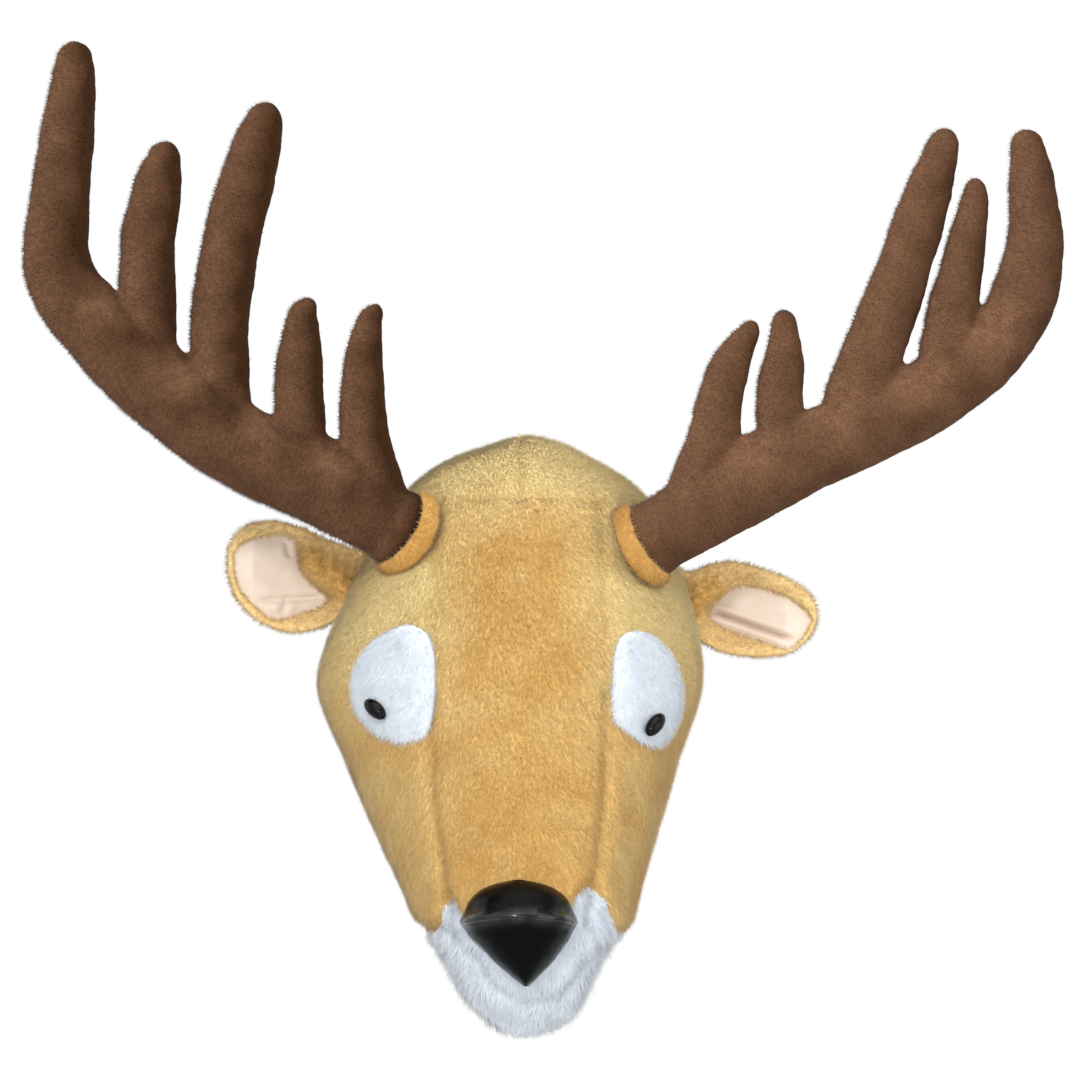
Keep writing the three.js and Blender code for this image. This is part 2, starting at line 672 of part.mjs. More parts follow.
function buildEye(name) {
  const form = eyeForms[name];
  const side = antlerSides[name];
  const [x, z] = place(form.patchShares);
  const { point, normal } = onHead(x, z);
  const turn = new THREE.Quaternion().setFromUnitVectors(new THREE.Vector3(0, -1, 0), normal);
  const halves = new THREE.Vector3(PATCH_HALF_WIDTH, PATCH_HEIGHT, PATCH_HALF_HEIGHT);
  const [across, up] = form.beadShares;
  const rise = Math.sqrt(1 - across * across - up * up);
  const local = new THREE.Vector3(across, -rise, up).multiply(halves);
  const seat = local.clone().applyQuaternion(turn).add(point);
  const along = new THREE.Vector3(local.x / halves.x ** 2, local.y / halves.y ** 2, local.z / halves.z ** 2);
  along.normalize().applyQuaternion(turn);
  along.add(normal).normalize();
  const beadTurn = new THREE.Quaternion().setFromUnitVectors(new THREE.Vector3(0, -1, 0), along);
  const beadHalves = new THREE.Vector3(BEAD_RADIUS, BEAD_DOME, BEAD_RADIUS * BEAD_SQUASH_SHARE);
  const inner = seat.clone().addScaledVector(along, -SHANK_LENGTH);
  const shank = cylinder(SHANK_RADIUS, inner, seat, SHANK_SIDES);
  const bead = egg(beadHalves, beadTurn, seat, ...BEAD_SIDES).add(shank);
  const gap = new THREE.Vector3(SEAM_GAP, SEAM_GAP, SEAM_GAP);
  const shankFoot = inner.clone().addScaledVector(along, -SEAM_GAP);
  const shankRoom = cylinder(SHANK_RADIUS + SEAM_GAP, shankFoot, seat, SHANK_SIDES);
  const beadRoom = egg(beadHalves.clone().add(gap), beadTurn, seat, ...BEAD_SIDES).add(shankRoom);
  const washerFar = seat.clone().addScaledVector(along, -SHANK_LENGTH + WASHER);
  const washerNear = washerFar.clone().addScaledVector(along, -WASHER);
  const disc = (extra) =>
    cylinder(
      WASHER_RADIUS + extra,
      washerNear.clone().addScaledVector(along, -extra),
      washerFar.clone().addScaledVector(along, extra),
      WASHER_SIDES,
    );
  const gusset = frontPrism(patchSide(side), -DEPTH_LIMIT, OVERRUN);
  const patch = egg(halves, turn, point, ...PATCH_SIDES).intersect(gusset);
  return { patch, bead, beadRoom, washer: disc(0), washerRoom: disc(SEAM_GAP) };
}

// The space outside a gusset seam, where the eye patch is sewn in.
function patchSide(side) {
  const seam = gussetShares.map(place).map(([x, z]) => [side * x, z]);
  const far = side * (HEAD_HALF_WIDTH + OVERRUN);
  const outline = [...seam, [far, seam.at(-1)[1]], [far, seam[0][1]]];
  return side > 0 ? outline.reverse() : outline;
}

// Nose: rows from its top edge to its tip as [down, half width, stand-out] shares.
const noseShares = [
  [0, 0.3, 0.1], [0.08, 0.68, 0.42], [0.2, 0.9, 0.72], [0.38, 1, 1], [0.44, 0.95, 0.99],
  [0.6, 0.72, 0.86], [0.78, 0.45, 0.66], [0.92, 0.2, 0.44], [1, 0.05, 0.24],
];
const NOSE_CREASE_SHARE = 0.42;
const NOSE_AROUND = 14;

const noseTop = NOSE_TOP_UP - CHIN_DROP;

function noseGeometry() {
  const rings = noseShares.map(([down, half, out]) => {
    const z = noseTop - down * NOSE_HEIGHT;
    const base = onHead(0, z).point.y + NOSE_BED;
    const ring = [];
    for (let i = 0; i < NOSE_AROUND; i++) {
      const angle = (2 * Math.PI * i) / NOSE_AROUND;
      const across = Math.cos(angle) * half;
      const reach = Math.sin(angle) > 0 ? NOSE_BED : NOSE_BED + NOSE_STAND_OUT * out;
      ring.push(new THREE.Vector3(across * NOSE_HALF_WIDTH, base + Math.sin(angle) * reach, z));
    }
    return ring;
  });
  return skinOf(rings);
}

function buildNose(head) {
  const form = noseGeometry();
  const skin = grown(form, 0).subtract(grown(form, -NOSE_LEATHER)).subtract(head);
  const crease = noseTop - NOSE_CREASE_SHARE * NOSE_HEIGHT;
  const reach = HEAD_HEIGHT;
  const below = (shift) => {
    const edge = crease + shift;
    return frontPrism([[-reach, -reach], [reach, -reach], [reach, edge], [-reach, edge]], -DEPTH_LIMIT, 0);
  };
  return {
    top: skin.subtract(below(SEAM_GAP / 2)),
    front: skin.intersect(below(-SEAM_GAP / 2)),
    filling: grown(form, -NOSE_LEATHER - SEAM_GAP - SEAM_GAP).subtract(head),
  };
}

const COLLAR_SIDES = [16, 8];

// The soft roll round an antler's root, lying on the head.
function buildCollar(name, layer, head, antler) {
  const form = antlerForms[name];
  const matrix = antlerFrame(name);
  const { hingeLine } = antlerBody(form, 0);
  const half = form.beamShares[0][2] * ANTLER_SIZE;
  const round = half * ANTLER_ROUNDNESS_SHARE + COLLAR_WIDTH;
  const turn = new THREE.Quaternion().setFromUnitVectors(new THREE.Vector3(0, 1, 0), hingeLine);
  const halves = new THREE.Vector3(round, half + COLLAR_WIDTH, round);
  const outer = egg(halves, turn, new THREE.Vector3(), ...COLLAR_SIDES);
  const ring = inWorld(outer, matrix).intersect(layer).intersect(antler.headSide);
  return largest(ring.subtract(head).subtract(antler.room));
}

function largest(body) {
  const bodies = body.decompose();
  return bodies.reduce((best, one) => (one.volume() > best.volume() ? one : best));
}

// Back: cover, board with its pocket, and the ring hanger in the pocket.
const ringPivotHeight = RING_PIVOT_SHARE * HEAD_HEIGHT - CHIN_DROP;
const boardRear = -COVER - SEAM_GAP;
const boardFront = boardRear - BOARD;
const pocketFloor = boardRear - POCKET_DEPTH;
const plateRear = pocketFloor + SEAM_GAP + PLATE;
const knuckleRadius = RING_WIRE / 2 + RUNNING_GAP + PLATE;
const ringPivot = new THREE.Vector3(0, pocketFloor + SEAM_GAP + knuckleRadius, ringPivotHeight);
const screwHeight = ringPivotHeight - RING_DROP - SCREW_HEAD;
const WIRE_SIDES = 8;
const KNUCKLE_SIDES = 14;
const SCREW_SIDES = 14;
const RING_STEPS = 10;

function pocketSpace() {
  const half = POCKET_WIDTH / 2;
  const low = ringPivotHeight - POCKET_BELOW_PIVOT;
  const high = ringPivotHeight + POCKET_ABOVE_PIVOT;
  return frontPrism([[-half, low], [half, low], [half, high], [-half, high]], pocketFloor, OVERRUN);
}

function onAxis(y) {
  return new THREE.Vector3(0, y, screwHeight);
}

function screwSpace(extra) {
  const foot = onAxis(pocketFloor - SCREW_FOOT - extra);
  return cylinder(SCREW_SHANK / 2 + extra, foot, onAxis(plateRear + SEAM_GAP), SCREW_SIDES);
}

function buildHanger() {
  const half = PLATE_WIDTH / 2;
  const foot = ringPivotHeight - PLATE_LENGTH;
  const strip = frontPrism(
    [[-half, foot], [half, foot], [half, ringPivotHeight], [-half, ringPivotHeight]],
    pocketFloor + SEAM_GAP,
    plateRear,
  );
  const alongX = (length) => [
    ringPivot.clone().add(new THREE.Vector3(-length / 2, 0, 0)),
    ringPivot.clone().add(new THREE.Vector3(length / 2, 0, 0)),
  ];
  const knuckle = cylinder(knuckleRadius, ...alongX(PLATE_WIDTH), KNUCKLE_SIDES);
  const bore = cylinder(RING_WIRE / 2 + RUNNING_GAP, ...alongX(PLATE_WIDTH * 2), KNUCKLE_SIDES);
  const plate = strip.add(knuckle).subtract(bore).subtract(screwSpace(SEAM_GAP));
  const sweep = (RING_WIDTH - RING_WIRE) / 2;
  const drop = RING_DROP - RING_WIRE / 2;
  const rings = [];
  for (let i = 0; i <= RING_STEPS; i++) {
    const angle = (Math.PI * i) / RING_STEPS;
    const centre = new THREE.Vector3(Math.cos(angle) * sweep, 0, -Math.sin(angle) * drop).add(ringPivot);
    const out = new THREE.Vector3(Math.cos(angle) * drop, 0, -Math.sin(angle) * sweep).normalize();
    rings.push(wireRing(centre, out));
  }
  const bar = cylinder(RING_WIRE / 2, ...alongX(RING_WIDTH), WIRE_SIDES);
  const ring = solid(skinOf(rings)).add(bar);
  const headFoot = plateRear + SEAM_GAP;
  const head = cylinder(SCREW_HEAD / 2, onAxis(headFoot), onAxis(headFoot + SCREW_HEAD_HEIGHT), SCREW_SIDES);
  return { plate, ring, screw: head.add(screwSpace(0)) };
}

function wireRing(centre, out) {
  const points = [];
  for (let i = 0; i < WIRE_SIDES; i++) {
    const angle = (2 * Math.PI * i) / WIRE_SIDES;
    const point = centre.clone().addScaledVector(out, (Math.cos(angle) * RING_WIRE) / 2);
    point.y += (Math.sin(angle) * RING_WIRE) / 2;
    points.push(point);
  }
  return points;
}

function build() {
  const outer = grown(headSurface, 0);
  const lifted = grown(headSurface, SEAM_GAP);
  const core = grown(headSurface, -SKIN - SEAM_GAP);
  const antlers = { left: buildAntler("left"), right: buildAntler("right") };
  const ears = { left: buildEar("left"), right: buildEar("right") };
  const eyes = { left: buildEye("left"), right: buildEye("right") };
  const rooms = [antlers.left.room, antlers.right.room, ears.left.room, ears.right.room];
  const beadRooms = [eyes.left.beadRoom, eyes.right.beadRoom];
  const washerRooms = [eyes.left.washerRoom, eyes.right.washerRoom];
  const ahead = slab(-DEPTH_LIMIT, boardRear);
  const shell = without(outer.subtract(grown(headSurface, -SKIN)).intersect(ahead), [...rooms, ...beadRooms]);
  const half = SEAM_GAP / 2;
  const crown = shell.intersect(besideSeam(crossSeamShares, 1, half));
  const face = shell.subtract(besideSeam(crossSeamShares, 1, -half));
  const muzzle = face.intersect(besideSeam(muzzleShares, -1, half));
  const upper = face.subtract(besideSeam(muzzleShares, -1, -half));
  const lips = muzzle.subtract(besideSeam(mouthShares, -1, -half));
  const chin = muzzle.intersect(besideSeam(mouthShares, -1, half));
  const forehead = upper.intersect(foreheadSpace(-half));
  const sides = upper.subtract(foreheadSpace(half));
  const throat = sides.intersect(throatSpace(-half));
  const cheeks = sides.subtract(throatSpace(half));
  const filled = core.intersect(slab(-DEPTH_LIMIT, boardFront - SEAM_GAP));
  const nose = buildNose(lifted);
  const hanger = buildHanger();
  const layer = grown(headSurface, COLLAR_HEIGHT);
  const board = core.intersect(slab(boardFront, boardRear)).subtract(pocketSpace());
  const pieces = {
    backing_board: [board.subtract(screwSpace(SEAM_GAP)), "board"],
    back_cover: [outer.intersect(slab(-COVER, 0)).subtract(pocketSpace()), "backing"],
    hanger_plate: [hanger.plate, "steel"],
    hanger_ring: [hanger.ring, "steel"],
    hanger_screw: [hanger.screw, "steel"],
    head_filling: [without(filled, [...rooms, ...beadRooms, ...washerRooms]), "filling"],
    forehead_panel: [forehead, "plush"],
    throat_panel: [throat, "plush"],
    chin_panel: [chin, "white_plush"],
    nose_top_panel: [nose.top, "leatherette"],
    nose_front_panel: [nose.front, "leatherette"],
    nose_filling: [nose.filling, "filling"],
  };
  for (const [name, side] of Object.entries(antlerSides)) {
    const space = sideSpace(side, half);
    pieces[`crown_panel_${name}`] = [crown.intersect(space), "plush"];
    pieces[`cheek_panel_${name}`] = [cheeks.intersect(space), "plush"];
    pieces[`muzzle_panel_${name}`] = [lips.intersect(space), "white_plush"];
    pieces[`eye_patch_${name}`] = [without(eyes[name].patch, [lifted, eyes[name].beadRoom]), "white_plush"];
    pieces[`eye_bead_${name}`] = [eyes[name].bead, "bead"];
    const washer = eyes[name].washer.subtract(eyes[name].beadRoom);
    pieces[`eye_washer_${name}`] = [washer.intersect(core), "washer"];
    pieces[`antler_collar_${name}`] = [buildCollar(name, layer, lifted, antlers[name]), "plush"];
    Object.assign(pieces, antlers[name].pieces, ears[name].pieces);
  }
  return { pieces, antlers, ears };
}

const { pieces, antlers, ears } = build();
const head = new THREE.Group();
for (const [name, [body, finish]] of Object.entries(pieces)) {
  const mesh = new THREE.Mesh(geometryOf(body), new THREE.MeshStandardMaterial(FINISHES[finish]));
  mesh.name = name;
  head.add(mesh);
}

// The hinge of each moving body: a point, a direction and both limits in degrees.
head.userData.hinges = {
  antler_left: { ...antlers.left, limits: [-ANTLER_SWAY, ANTLER_SWAY] },
  antler_right: { ...antlers.right, limits: [-ANTLER_SWAY, ANTLER_SWAY] },
  ear_left: { ...ears.left, limits: [-EAR_FLOP, EAR_FLOP] },
  ear_right: { ...ears.right, limits: [-EAR_FLOP, EAR_FLOP] },
  hanger_ring: { pivot: ringPivot, axis: new THREE.Vector3(1, 0, 0), limits: [0, RING_SWING] },
};

export default head;
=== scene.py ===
"""Dresses the stuffed stag head: piled skins, velour antlers, lined ears, bead eyes and a gloss nose."""

from __future__ import annotations

import json
import logging
import math
from dataclasses import dataclass
from enum import Enum
from typing import Iterable, Sequence

import bmesh
import bpy
import numpy as np
from mathutils import Matrix, Vector, kdtree, noise

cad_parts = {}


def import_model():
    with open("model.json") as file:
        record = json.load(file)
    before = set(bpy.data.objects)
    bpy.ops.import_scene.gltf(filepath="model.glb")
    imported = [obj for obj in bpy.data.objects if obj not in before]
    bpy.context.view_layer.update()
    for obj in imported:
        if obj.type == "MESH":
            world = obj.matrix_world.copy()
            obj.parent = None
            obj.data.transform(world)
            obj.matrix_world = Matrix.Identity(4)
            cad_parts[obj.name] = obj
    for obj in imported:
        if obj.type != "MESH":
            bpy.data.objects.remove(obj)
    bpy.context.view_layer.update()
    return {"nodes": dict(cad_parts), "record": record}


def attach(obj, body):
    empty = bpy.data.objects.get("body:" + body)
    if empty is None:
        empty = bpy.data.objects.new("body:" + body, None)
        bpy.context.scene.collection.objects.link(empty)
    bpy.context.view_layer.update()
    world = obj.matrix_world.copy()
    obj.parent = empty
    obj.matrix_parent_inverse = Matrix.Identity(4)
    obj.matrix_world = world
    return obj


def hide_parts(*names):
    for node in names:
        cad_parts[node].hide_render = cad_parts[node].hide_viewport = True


LOG = logging.getLogger("stag_head")
MM = 0.001
SIDES = {"left": -1.0, "right": 1.0}
WALL_SKIN = -1.9


def linear(red: int, green: int, blue: int) -> tuple[float, float, float, float]:
    """Turns a screen colour into scene values.

    Args:
        red: Red from 0 to 255.
        green: Green from 0 to 255.
        blue: Blue from 0 to 255.

    Returns:
        The linear colour with alpha 1.
    """

    def one(value: int) -> float:
        """Turns one channel into its linear value."""
        share = value / 255
        return share / 12.92 if share <= 0.04045 else ((share + 0.055) / 1.055) ** 2.4

    return one(red), one(green), one(blue), 1.0


def spline(stations: np.ndarray, share: np.ndarray, ends: bool = True) -> np.ndarray:
    """Runs a smooth line through stations.

    Args:
        stations: One row for each station.
        share: Places along the line, from 0 to 1.
        ends: True to carry the first and last spans on past the ends, False to repeat the end stations.

    Returns:
        One row for each share.
    """
    stations = np.asarray(stations, float)
    share = np.atleast_1d(np.asarray(share, float))
    last = len(stations) - 1
    place = share * last
    index = np.clip(np.floor(place).astype(int), 0, last - 1)
    part = (place - index)[:, None]
    first = 2 * stations[0] - stations[1] if ends else stations[0]
    final = 2 * stations[-1] - stations[-2] if ends else stations[-1]
    wide = np.vstack([first, stations, final])
    a, b, c, d = (wide[index + k] for k in range(4))
    v0, v1 = (c - a) / 2, (d - b) / 2
    return b + v0 * part + (3 * (c - b) - 2 * v0 - v1) * part**2 + (2 * (b - c) + v0 + v1) * part**3


def unit(vectors: np.ndarray) -> np.ndarray:
    """Scales each row to length 1."""
    return vectors / np.maximum(np.linalg.norm(vectors, axis=-1, keepdims=True), 1e-12)


def rough(points: np.ndarray, size: float, seed: float) -> np.ndarray:
    """Gives smooth noise from about -1 to 1 at each point.

    Args:
        points: Places in millimetres.
        size: Size of one lump in millimetres.
        seed: Shift of the noise field.

    Returns:
        One value for each point.
    """
    shift = Vector((seed, seed * 1.7, -seed))
    return np.array([noise.noise(Vector(p) / size + shift) for p in points])


def loop(stations: Sequence[Sequence[float]], count: int) -> np.ndarray:
    """Runs a smooth closed line through stations.

    Args:
        stations: One row for each station.
        count: Points on the line.

    Returns:
        One row for each point.
    """
    rows = np.asarray(stations, float)
    rows = np.vstack([rows[-1], rows, rows[0], rows[1]])
    first, last = 1 / (len(rows) - 1), (len(rows) - 2) / (len(rows) - 1)
    return spline(rows, np.linspace(first, last, count, endpoint=False))


def out_of(points: np.ndarray, outline: np.ndarray) -> np.ndarray:
    """Gives the distance from a closed outline, which is negative inside it."""
    start, end = outline, np.roll(outline, -1, axis=0)
    span = end - start
    away = points[:, None, :] - start[None]
    share = np.clip((away * span).sum(axis=2) / np.maximum((span**2).sum(axis=1), 1e-9), 0, 1)
    near = np.linalg.norm(away - share[..., None] * span, axis=2).min(axis=1)
    x, z = points[:, 0:1], points[:, 1:2]
    level = (start[:, 1] > z) != (end[:, 1] > z)
    rise = np.where(np.abs(span[:, 1]) < 1e-9, 1e-9, span[:, 1])
    crossings = level & (x < span[:, 0] * (z - start[:, 1]) / rise + start[:, 0])
    return np.where(crossings.sum(axis=1) % 2 == 1, -near, near)


def from_line(points: np.ndarray, line: Sequence[float]) -> tuple[np.ndarray, np.ndarray]:
    """Gives the distance from a short straight line, and the share along it.

    Args:
        points: Places in a plane.
        line: The two ends, as four values.

    Returns:
        The signed distance aside and the share, which runs past 0 and 1 beyond the ends.
    """
    start, end = np.array(line[:2]), np.array(line[2:4])
    way = (end - start) / np.linalg.norm(end - start)
    off = points - start
    return off[:, 0] * -way[1] + off[:, 1] * way[0], off @ way / np.linalg.norm(end - start)


def search_tree(points: Iterable[Sequence[float]]) -> kdtree.KDTree:
    """Makes a search tree of points."""
    rows = list(points)
    tree = kdtree.KDTree(len(rows))
    for number, point in enumerate(rows):
        tree.insert(Vector(point), number)
    tree.balance()
    return tree


def round_turn(count: int) -> np.ndarray:
    """Gives evenly spaced angles round a full turn."""
    return 2 * np.pi * np.arange(count) / count


def ring_quads(rows: int, around: int) -> tuple[np.ndarray, np.ndarray]:
    """Numbers the points of closed rings and lists the faces between them.

    Args:
        rows: How many rings.
        around: Points on each ring.

    Returns:
        The numbers as rows by columns, and four corners for each face.
    """
    number = np.arange(rows * around).reshape(rows, around)
    right = np.roll(number, -1, axis=1)
    return number, np.stack([number[:-1], right[:-1], right[1:], number[1:]], axis=2).reshape(-1, 4)


def feed(tree: bpy.types.NodeTree, made: bpy.types.Node, feeds: dict[str | int, object]) -> None:
    """Feeds a node's inputs.

    Args:
        tree: The node tree.
        made: The node.
        feeds: By name or place of the input, a socket to link or a value to set.
    """
    for key, value in feeds.items():
        if isinstance(value, bpy.types.NodeSocket):
            tree.links.new(value, made.inputs[key])
        else:
            made.inputs[key].default_value = value


def node(
    tree: bpy.types.NodeTree, kind: str, feeds: dict[str | int, object] | None = None, **settings: object
) -> bpy.types.Node:
    """Adds one node.

    Args:
        tree: The node tree.
        kind: The node's type.
        feeds: What goes into its inputs.
        settings: The node's own settings.

    Returns:
        The node.
    """
    made = tree.nodes.new(kind)
    for key, value in settings.items():
        setattr(made, key, value)
    feed(tree, made, feeds or {})
    return made


def open_sockets(tree: bpy.types.NodeTree, rows: Iterable[tuple[str, str, object]], way: str = "INPUT") -> None:
    """Adds named sockets to a group, each with its kind and first value."""
    for name, kind, value in rows:
        socket = tree.interface.new_socket(name=name, in_out=way, socket_type="NodeSocket" + kind)
        if value is not None:
            socket.default_value = value


def mix_colours(
    tree: bpy.types.NodeTree, share: object, first: object, second: object, blend: str = "MIX"
) -> bpy.types.NodeSocket:
    """Mixes two colours, each given as a socket or a value."""
    mix = node(tree, "ShaderNodeMix", data_type="RGBA", blend_type=blend)
    feed(tree, mix, {0: share, 6: first, 7: second})
    return mix.outputs[2]


def attribute(tree: bpy.types.NodeTree, name: str) -> bpy.types.NodeSocket:
    """Reads a value that the mesh keeps."""
    return node(tree, "ShaderNodeAttribute", attribute_name=name).outputs["Fac"]


def object_place(tree: bpy.types.NodeTree) -> bpy.types.NodeSocket:
    """Reads the object coordinates."""
    return node(tree, "ShaderNodeTexCoord").outputs["Object"]


def run_tree(
    base: bpy.types.Object, tree: bpy.types.NodeTree, values: dict[str, object], keep_layers: bool
) -> bpy.types.Mesh:
    """Runs a geometry node tree on an object and takes the result off as a plain mesh.

    Args:
        base: The object, which is left without the modifier.
        tree: The node tree.
        values: The inputs to set, by name.
        keep_layers: True to keep every data layer of the result.

    Returns:
        The new mesh.
    """
    layer = base.modifiers.new(tree.name, "NODES")
    layer.node_group = tree
    for item in tree.interface.items_tree:
        if item.item_type == "SOCKET" and item.in_out == "INPUT" and item.name in values:
            layer[item.identifier] = values[item.name]
    base.update_tag()
    settled = bpy.context.evaluated_depsgraph_get()
    mesh = bpy.data.meshes.new_from_object(
        base.evaluated_get(settled), preserve_all_data_layers=keep_layers, depsgraph=settled
    )
    base.modifiers.remove(layer)
    return mesh


class Groups:
    """Shared node groups, each built once."""

    _made: dict[str, bpy.types.NodeTree] = {}

    @classmethod
    def mottle(cls) -> bpy.types.NodeTree:
        """Two colours mixed in soft patches, with a finer speckle.

        Returns:
            The shader node group.
        """
        if "mottle" in cls._made:
            return cls._made["mottle"]
        tree = bpy.data.node_groups.new("soft_mottle", "ShaderNodeTree")
        open_sockets(tree, (
            ("Position", "Vector", None),
            ("Light", "Color", (1, 1, 1, 1)),
            ("Dark", "Color", (0, 0, 0, 1)),
            ("Patch Scale", "Float", 40.0),
            ("Speckle Scale", "Float", 600.0),
            ("Speckle Share", "Float", 0.3),
        ))
        open_sockets(tree, (("Color", "Color", None), ("Mask", "Float", None)), "OUTPUT")
        entry = node(tree, "NodeGroupInput").outputs
        place = entry["Position"]
        patch = node(tree, "ShaderNodeTexNoise", {
            "Vector": place, "Scale": entry["Patch Scale"], "Detail": 4.0, "Roughness": 0.62,
        })
        speck = node(tree, "ShaderNodeTexNoise", {"Vector": place, "Scale": entry["Speckle Scale"], "Detail": 2.0})
        blend = node(tree, "ShaderNodeMix", {
            0: entry["Speckle Share"], 2: patch.outputs["Fac"], 3: speck.outputs["Fac"],
        })
        spread = node(tree, "ShaderNodeMapRange", {"Value": blend.outputs[0], "From Min": 0.33, "From Max": 0.67})
        mask = spread.outputs["Result"]
        node(tree, "NodeGroupOutput", {"Color": mix_colours(tree, mask, entry["Dark"], entry["Light"]), "Mask": mask})
        cls._made["mottle"] = tree
        return tree


def new_material(name: str) -> tuple[bpy.types.Material, bpy.types.NodeTree, bpy.types.Node]:
    """Starts a material with an empty Principled shader.

    Args:
        name: The material's name.

    Returns:
        The material, its node tree and the shader node.
    """
    material = bpy.data.materials.new(name)
    material.use_nodes = True
    return material, material.node_tree, material.node_tree.nodes["Principled BSDF"]


def mottled(
    tree: bpy.types.NodeTree, light: Sequence[int], dark: Sequence[int], patch: float, speckle: float, share: float
) -> bpy.types.Node:
    """Adds the shared mottle group to a material.

    Args:
        tree: The material's nodes.
        light: Screen colour of the light patches.
        dark: Screen colour of the dark patches.
        patch: Scale of the patches, in patches a metre.
        speckle: Scale of the speckle, in specks a metre.
        share: Share of the speckle in the mix.

    Returns:
        The group node.
    """
    return node(tree, "ShaderNodeGroup", {
        "Position": object_place(tree), "Light": linear(*light), "Dark": linear(*dark), "Patch Scale": patch,
        "Speckle Scale": speckle, "Speckle Share": share,
    }, node_tree=Groups.mottle())


def bumped(
    tree: bpy.types.NodeTree, height: bpy.types.NodeSocket, distance: float, strength: float = 1.0, **more: object
) -> bpy.types.NodeSocket:
    """Turns a height into a bumped normal.

    Args:
        tree: The material's nodes.
        height: The socket that gives the height.
        distance: Depth of the relief in metres.
        strength: Strength of the bump.
        more: The Normal that lies under this bump, if there is one.

    Returns:
        The normal.
    """
    feeds = {"Height": height, "Distance": distance, "Strength": strength, **more}
    return node(tree, "ShaderNodeBump", feeds).outputs["Normal"]


@dataclass(frozen=True)
class PileFinish:
    """Pile cloth: the ground under the pile and the hairs, with painted shade that darkens the ground and the hair
    roots, so that the hairs grow paler towards their tips.
    """

    name: str
    light: tuple[int, int, int]
    dark: tuple[int, int, int]
    # Share of the colour left at the hair roots, and half as much darkening on the ground: below 1 it paints shade into
    # the bottom of the pile.
    painted_shade_root_share: float = 0.9
    patch: float = 38.0
    sheen: float = 0.25
    speckle: float = 0.35
    worn: tuple[int, int, int] | None = None

    def _shade(self, tree: bpy.types.NodeTree, shader: bpy.types.Node, depth: float, tips: bool) -> None:
        """Feeds the shader with mottled colour, darkened by painted shade: by a plain share, and on hairs by the place
        along a hair.

        Args:
            tree: The material's nodes.
            shader: The Principled shader.
            depth: Share of the colour that is left at the bottom of the pile, where it paints shade.
            tips: True for hairs, whose painted shade lifts towards their tips.
        """
        group = mottled(tree, self.light, self.dark, self.patch, self.patch * 14, self.speckle)
        colour, tone = group.outputs["Color"], (depth, depth, depth, 1.0)
        # The second colour comes in by the kept share of the same name: painted light and nap sheen on the head,
        # painted light and paler patches below the gaps on the antlers, the darker curly fold on the ears.
        if self.worn:
            colour = mix_colours(tree, attribute(tree, "worn"), colour, linear(*self.worn))
        if tips:
            # Painted shade: each hair darker at its root, full colour at its tip.
            ramp = node(tree, "ShaderNodeMapRange", {"Value": attribute(tree, "along"), "To Min": depth, "To Max": 1.0})
            feeds = {0: ramp.outputs["Result"], 1: attribute(tree, "tuft")}
            tone = node(tree, "ShaderNodeMath", feeds, operation="MULTIPLY").outputs[0]
        feed(tree, shader, {"Base Color": mix_colours(tree, 1.0, colour, tone, "MULTIPLY")})

    def ground(self) -> bpy.types.Material:
        """Makes the cloth under the pile.

        Returns:
            The material.
        """
        material, tree, shader = new_material(self.name + "_ground")
        # The ground gets half the painted shade of the hair roots.
        self._shade(tree, shader, (self.painted_shade_root_share + 1) / 2, False)
        fine = node(tree, "ShaderNodeTexNoise", {"Vector": object_place(tree), "Scale": 900.0})
        bump = bumped(tree, fine.outputs["Fac"], 0.0006)
        feed(tree, shader, {"Roughness": 0.95, "Specular IOR Level": 0.1, "Normal": bump})
        return material

    def hairs(self) -> bpy.types.Material:
        """Makes the hairs of the pile.

        Returns:
            The material.
        """
        material, tree, shader = new_material(self.name + "_hairs")
        self._shade(tree, shader, self.painted_shade_root_share, True)
        feed(tree, shader, {
            "Roughness": 0.85, "Specular IOR Level": 0.12, "Sheen Weight": self.sheen, "Sheen Roughness": 0.4,
        })
        return material


@dataclass(frozen=True)
class LeatherFinish:
    """Coated leatherette: near black, softly glossy, with a fine pebbled grain and short creases."""

    name: str = "nose_leatherette"
    light: tuple[int, int, int] = (5, 8, 8)
    dark: tuple[int, int, int] = (2, 4, 4)

    def material(self) -> bpy.types.Material:
        """Makes the leatherette.

        Returns:
            The material.
        """
        material, tree, shader = new_material(self.name)
        group, place = mottled(tree, self.light, self.dark, 60.0, 500.0, 0.2), object_place(tree)
        cells = node(tree, "ShaderNodeTexVoronoi", {"Vector": place, "Scale": 1500.0}, feature="SMOOTH_F1")
        creases = node(tree, "ShaderNodeTexNoise", {"Vector": place, "Scale": 210.0, "Detail": 6.0})
        wide = bumped(tree, creases.outputs["Fac"], 0.0007, 0.55)
        feed(tree, shader, {
            "Base Color": group.outputs["Color"],
            "Normal": bumped(tree, cells.outputs["Distance"], 0.00008, 0.6, Normal=wide),
            "Roughness": 0.17,
            "Specular IOR Level": 0.05,
            "Coat Weight": attribute(tree, "ridge"),
            "Coat Roughness": 0.14,
        })
        return material


@dataclass(frozen=True)
class PlainFinish:
    """A smooth or woven finish with mottled colour and a fine relief."""

    name: str
    light: tuple[int, int, int]
    dark: tuple[int, int, int]
    roughness: float
    patch: float = 40.0
    grain: float = 800.0
    relief: float = 0.0002
    metallic: float = 0.0
    specular: float = 0.3
    sheen: float = 0.0

    def material(self) -> bpy.types.Material:
        """Makes the finish.

        Returns:
            The material.
        """
        material, tree, shader = new_material(self.name)
        group = mottled(tree, self.light, self.dark, self.patch, self.grain, 0.35)
        feed(tree, shader, {
            "Base Color": group.outputs["Color"], "Roughness": self.roughness, "Metallic": self.metallic,
            "Specular IOR Level": self.specular, "Sheen Weight": self.sheen,
        })
        if self.relief:
            feed(tree, shader, {"Normal": bumped(tree, group.outputs["Mask"], self.relief)})
        return material


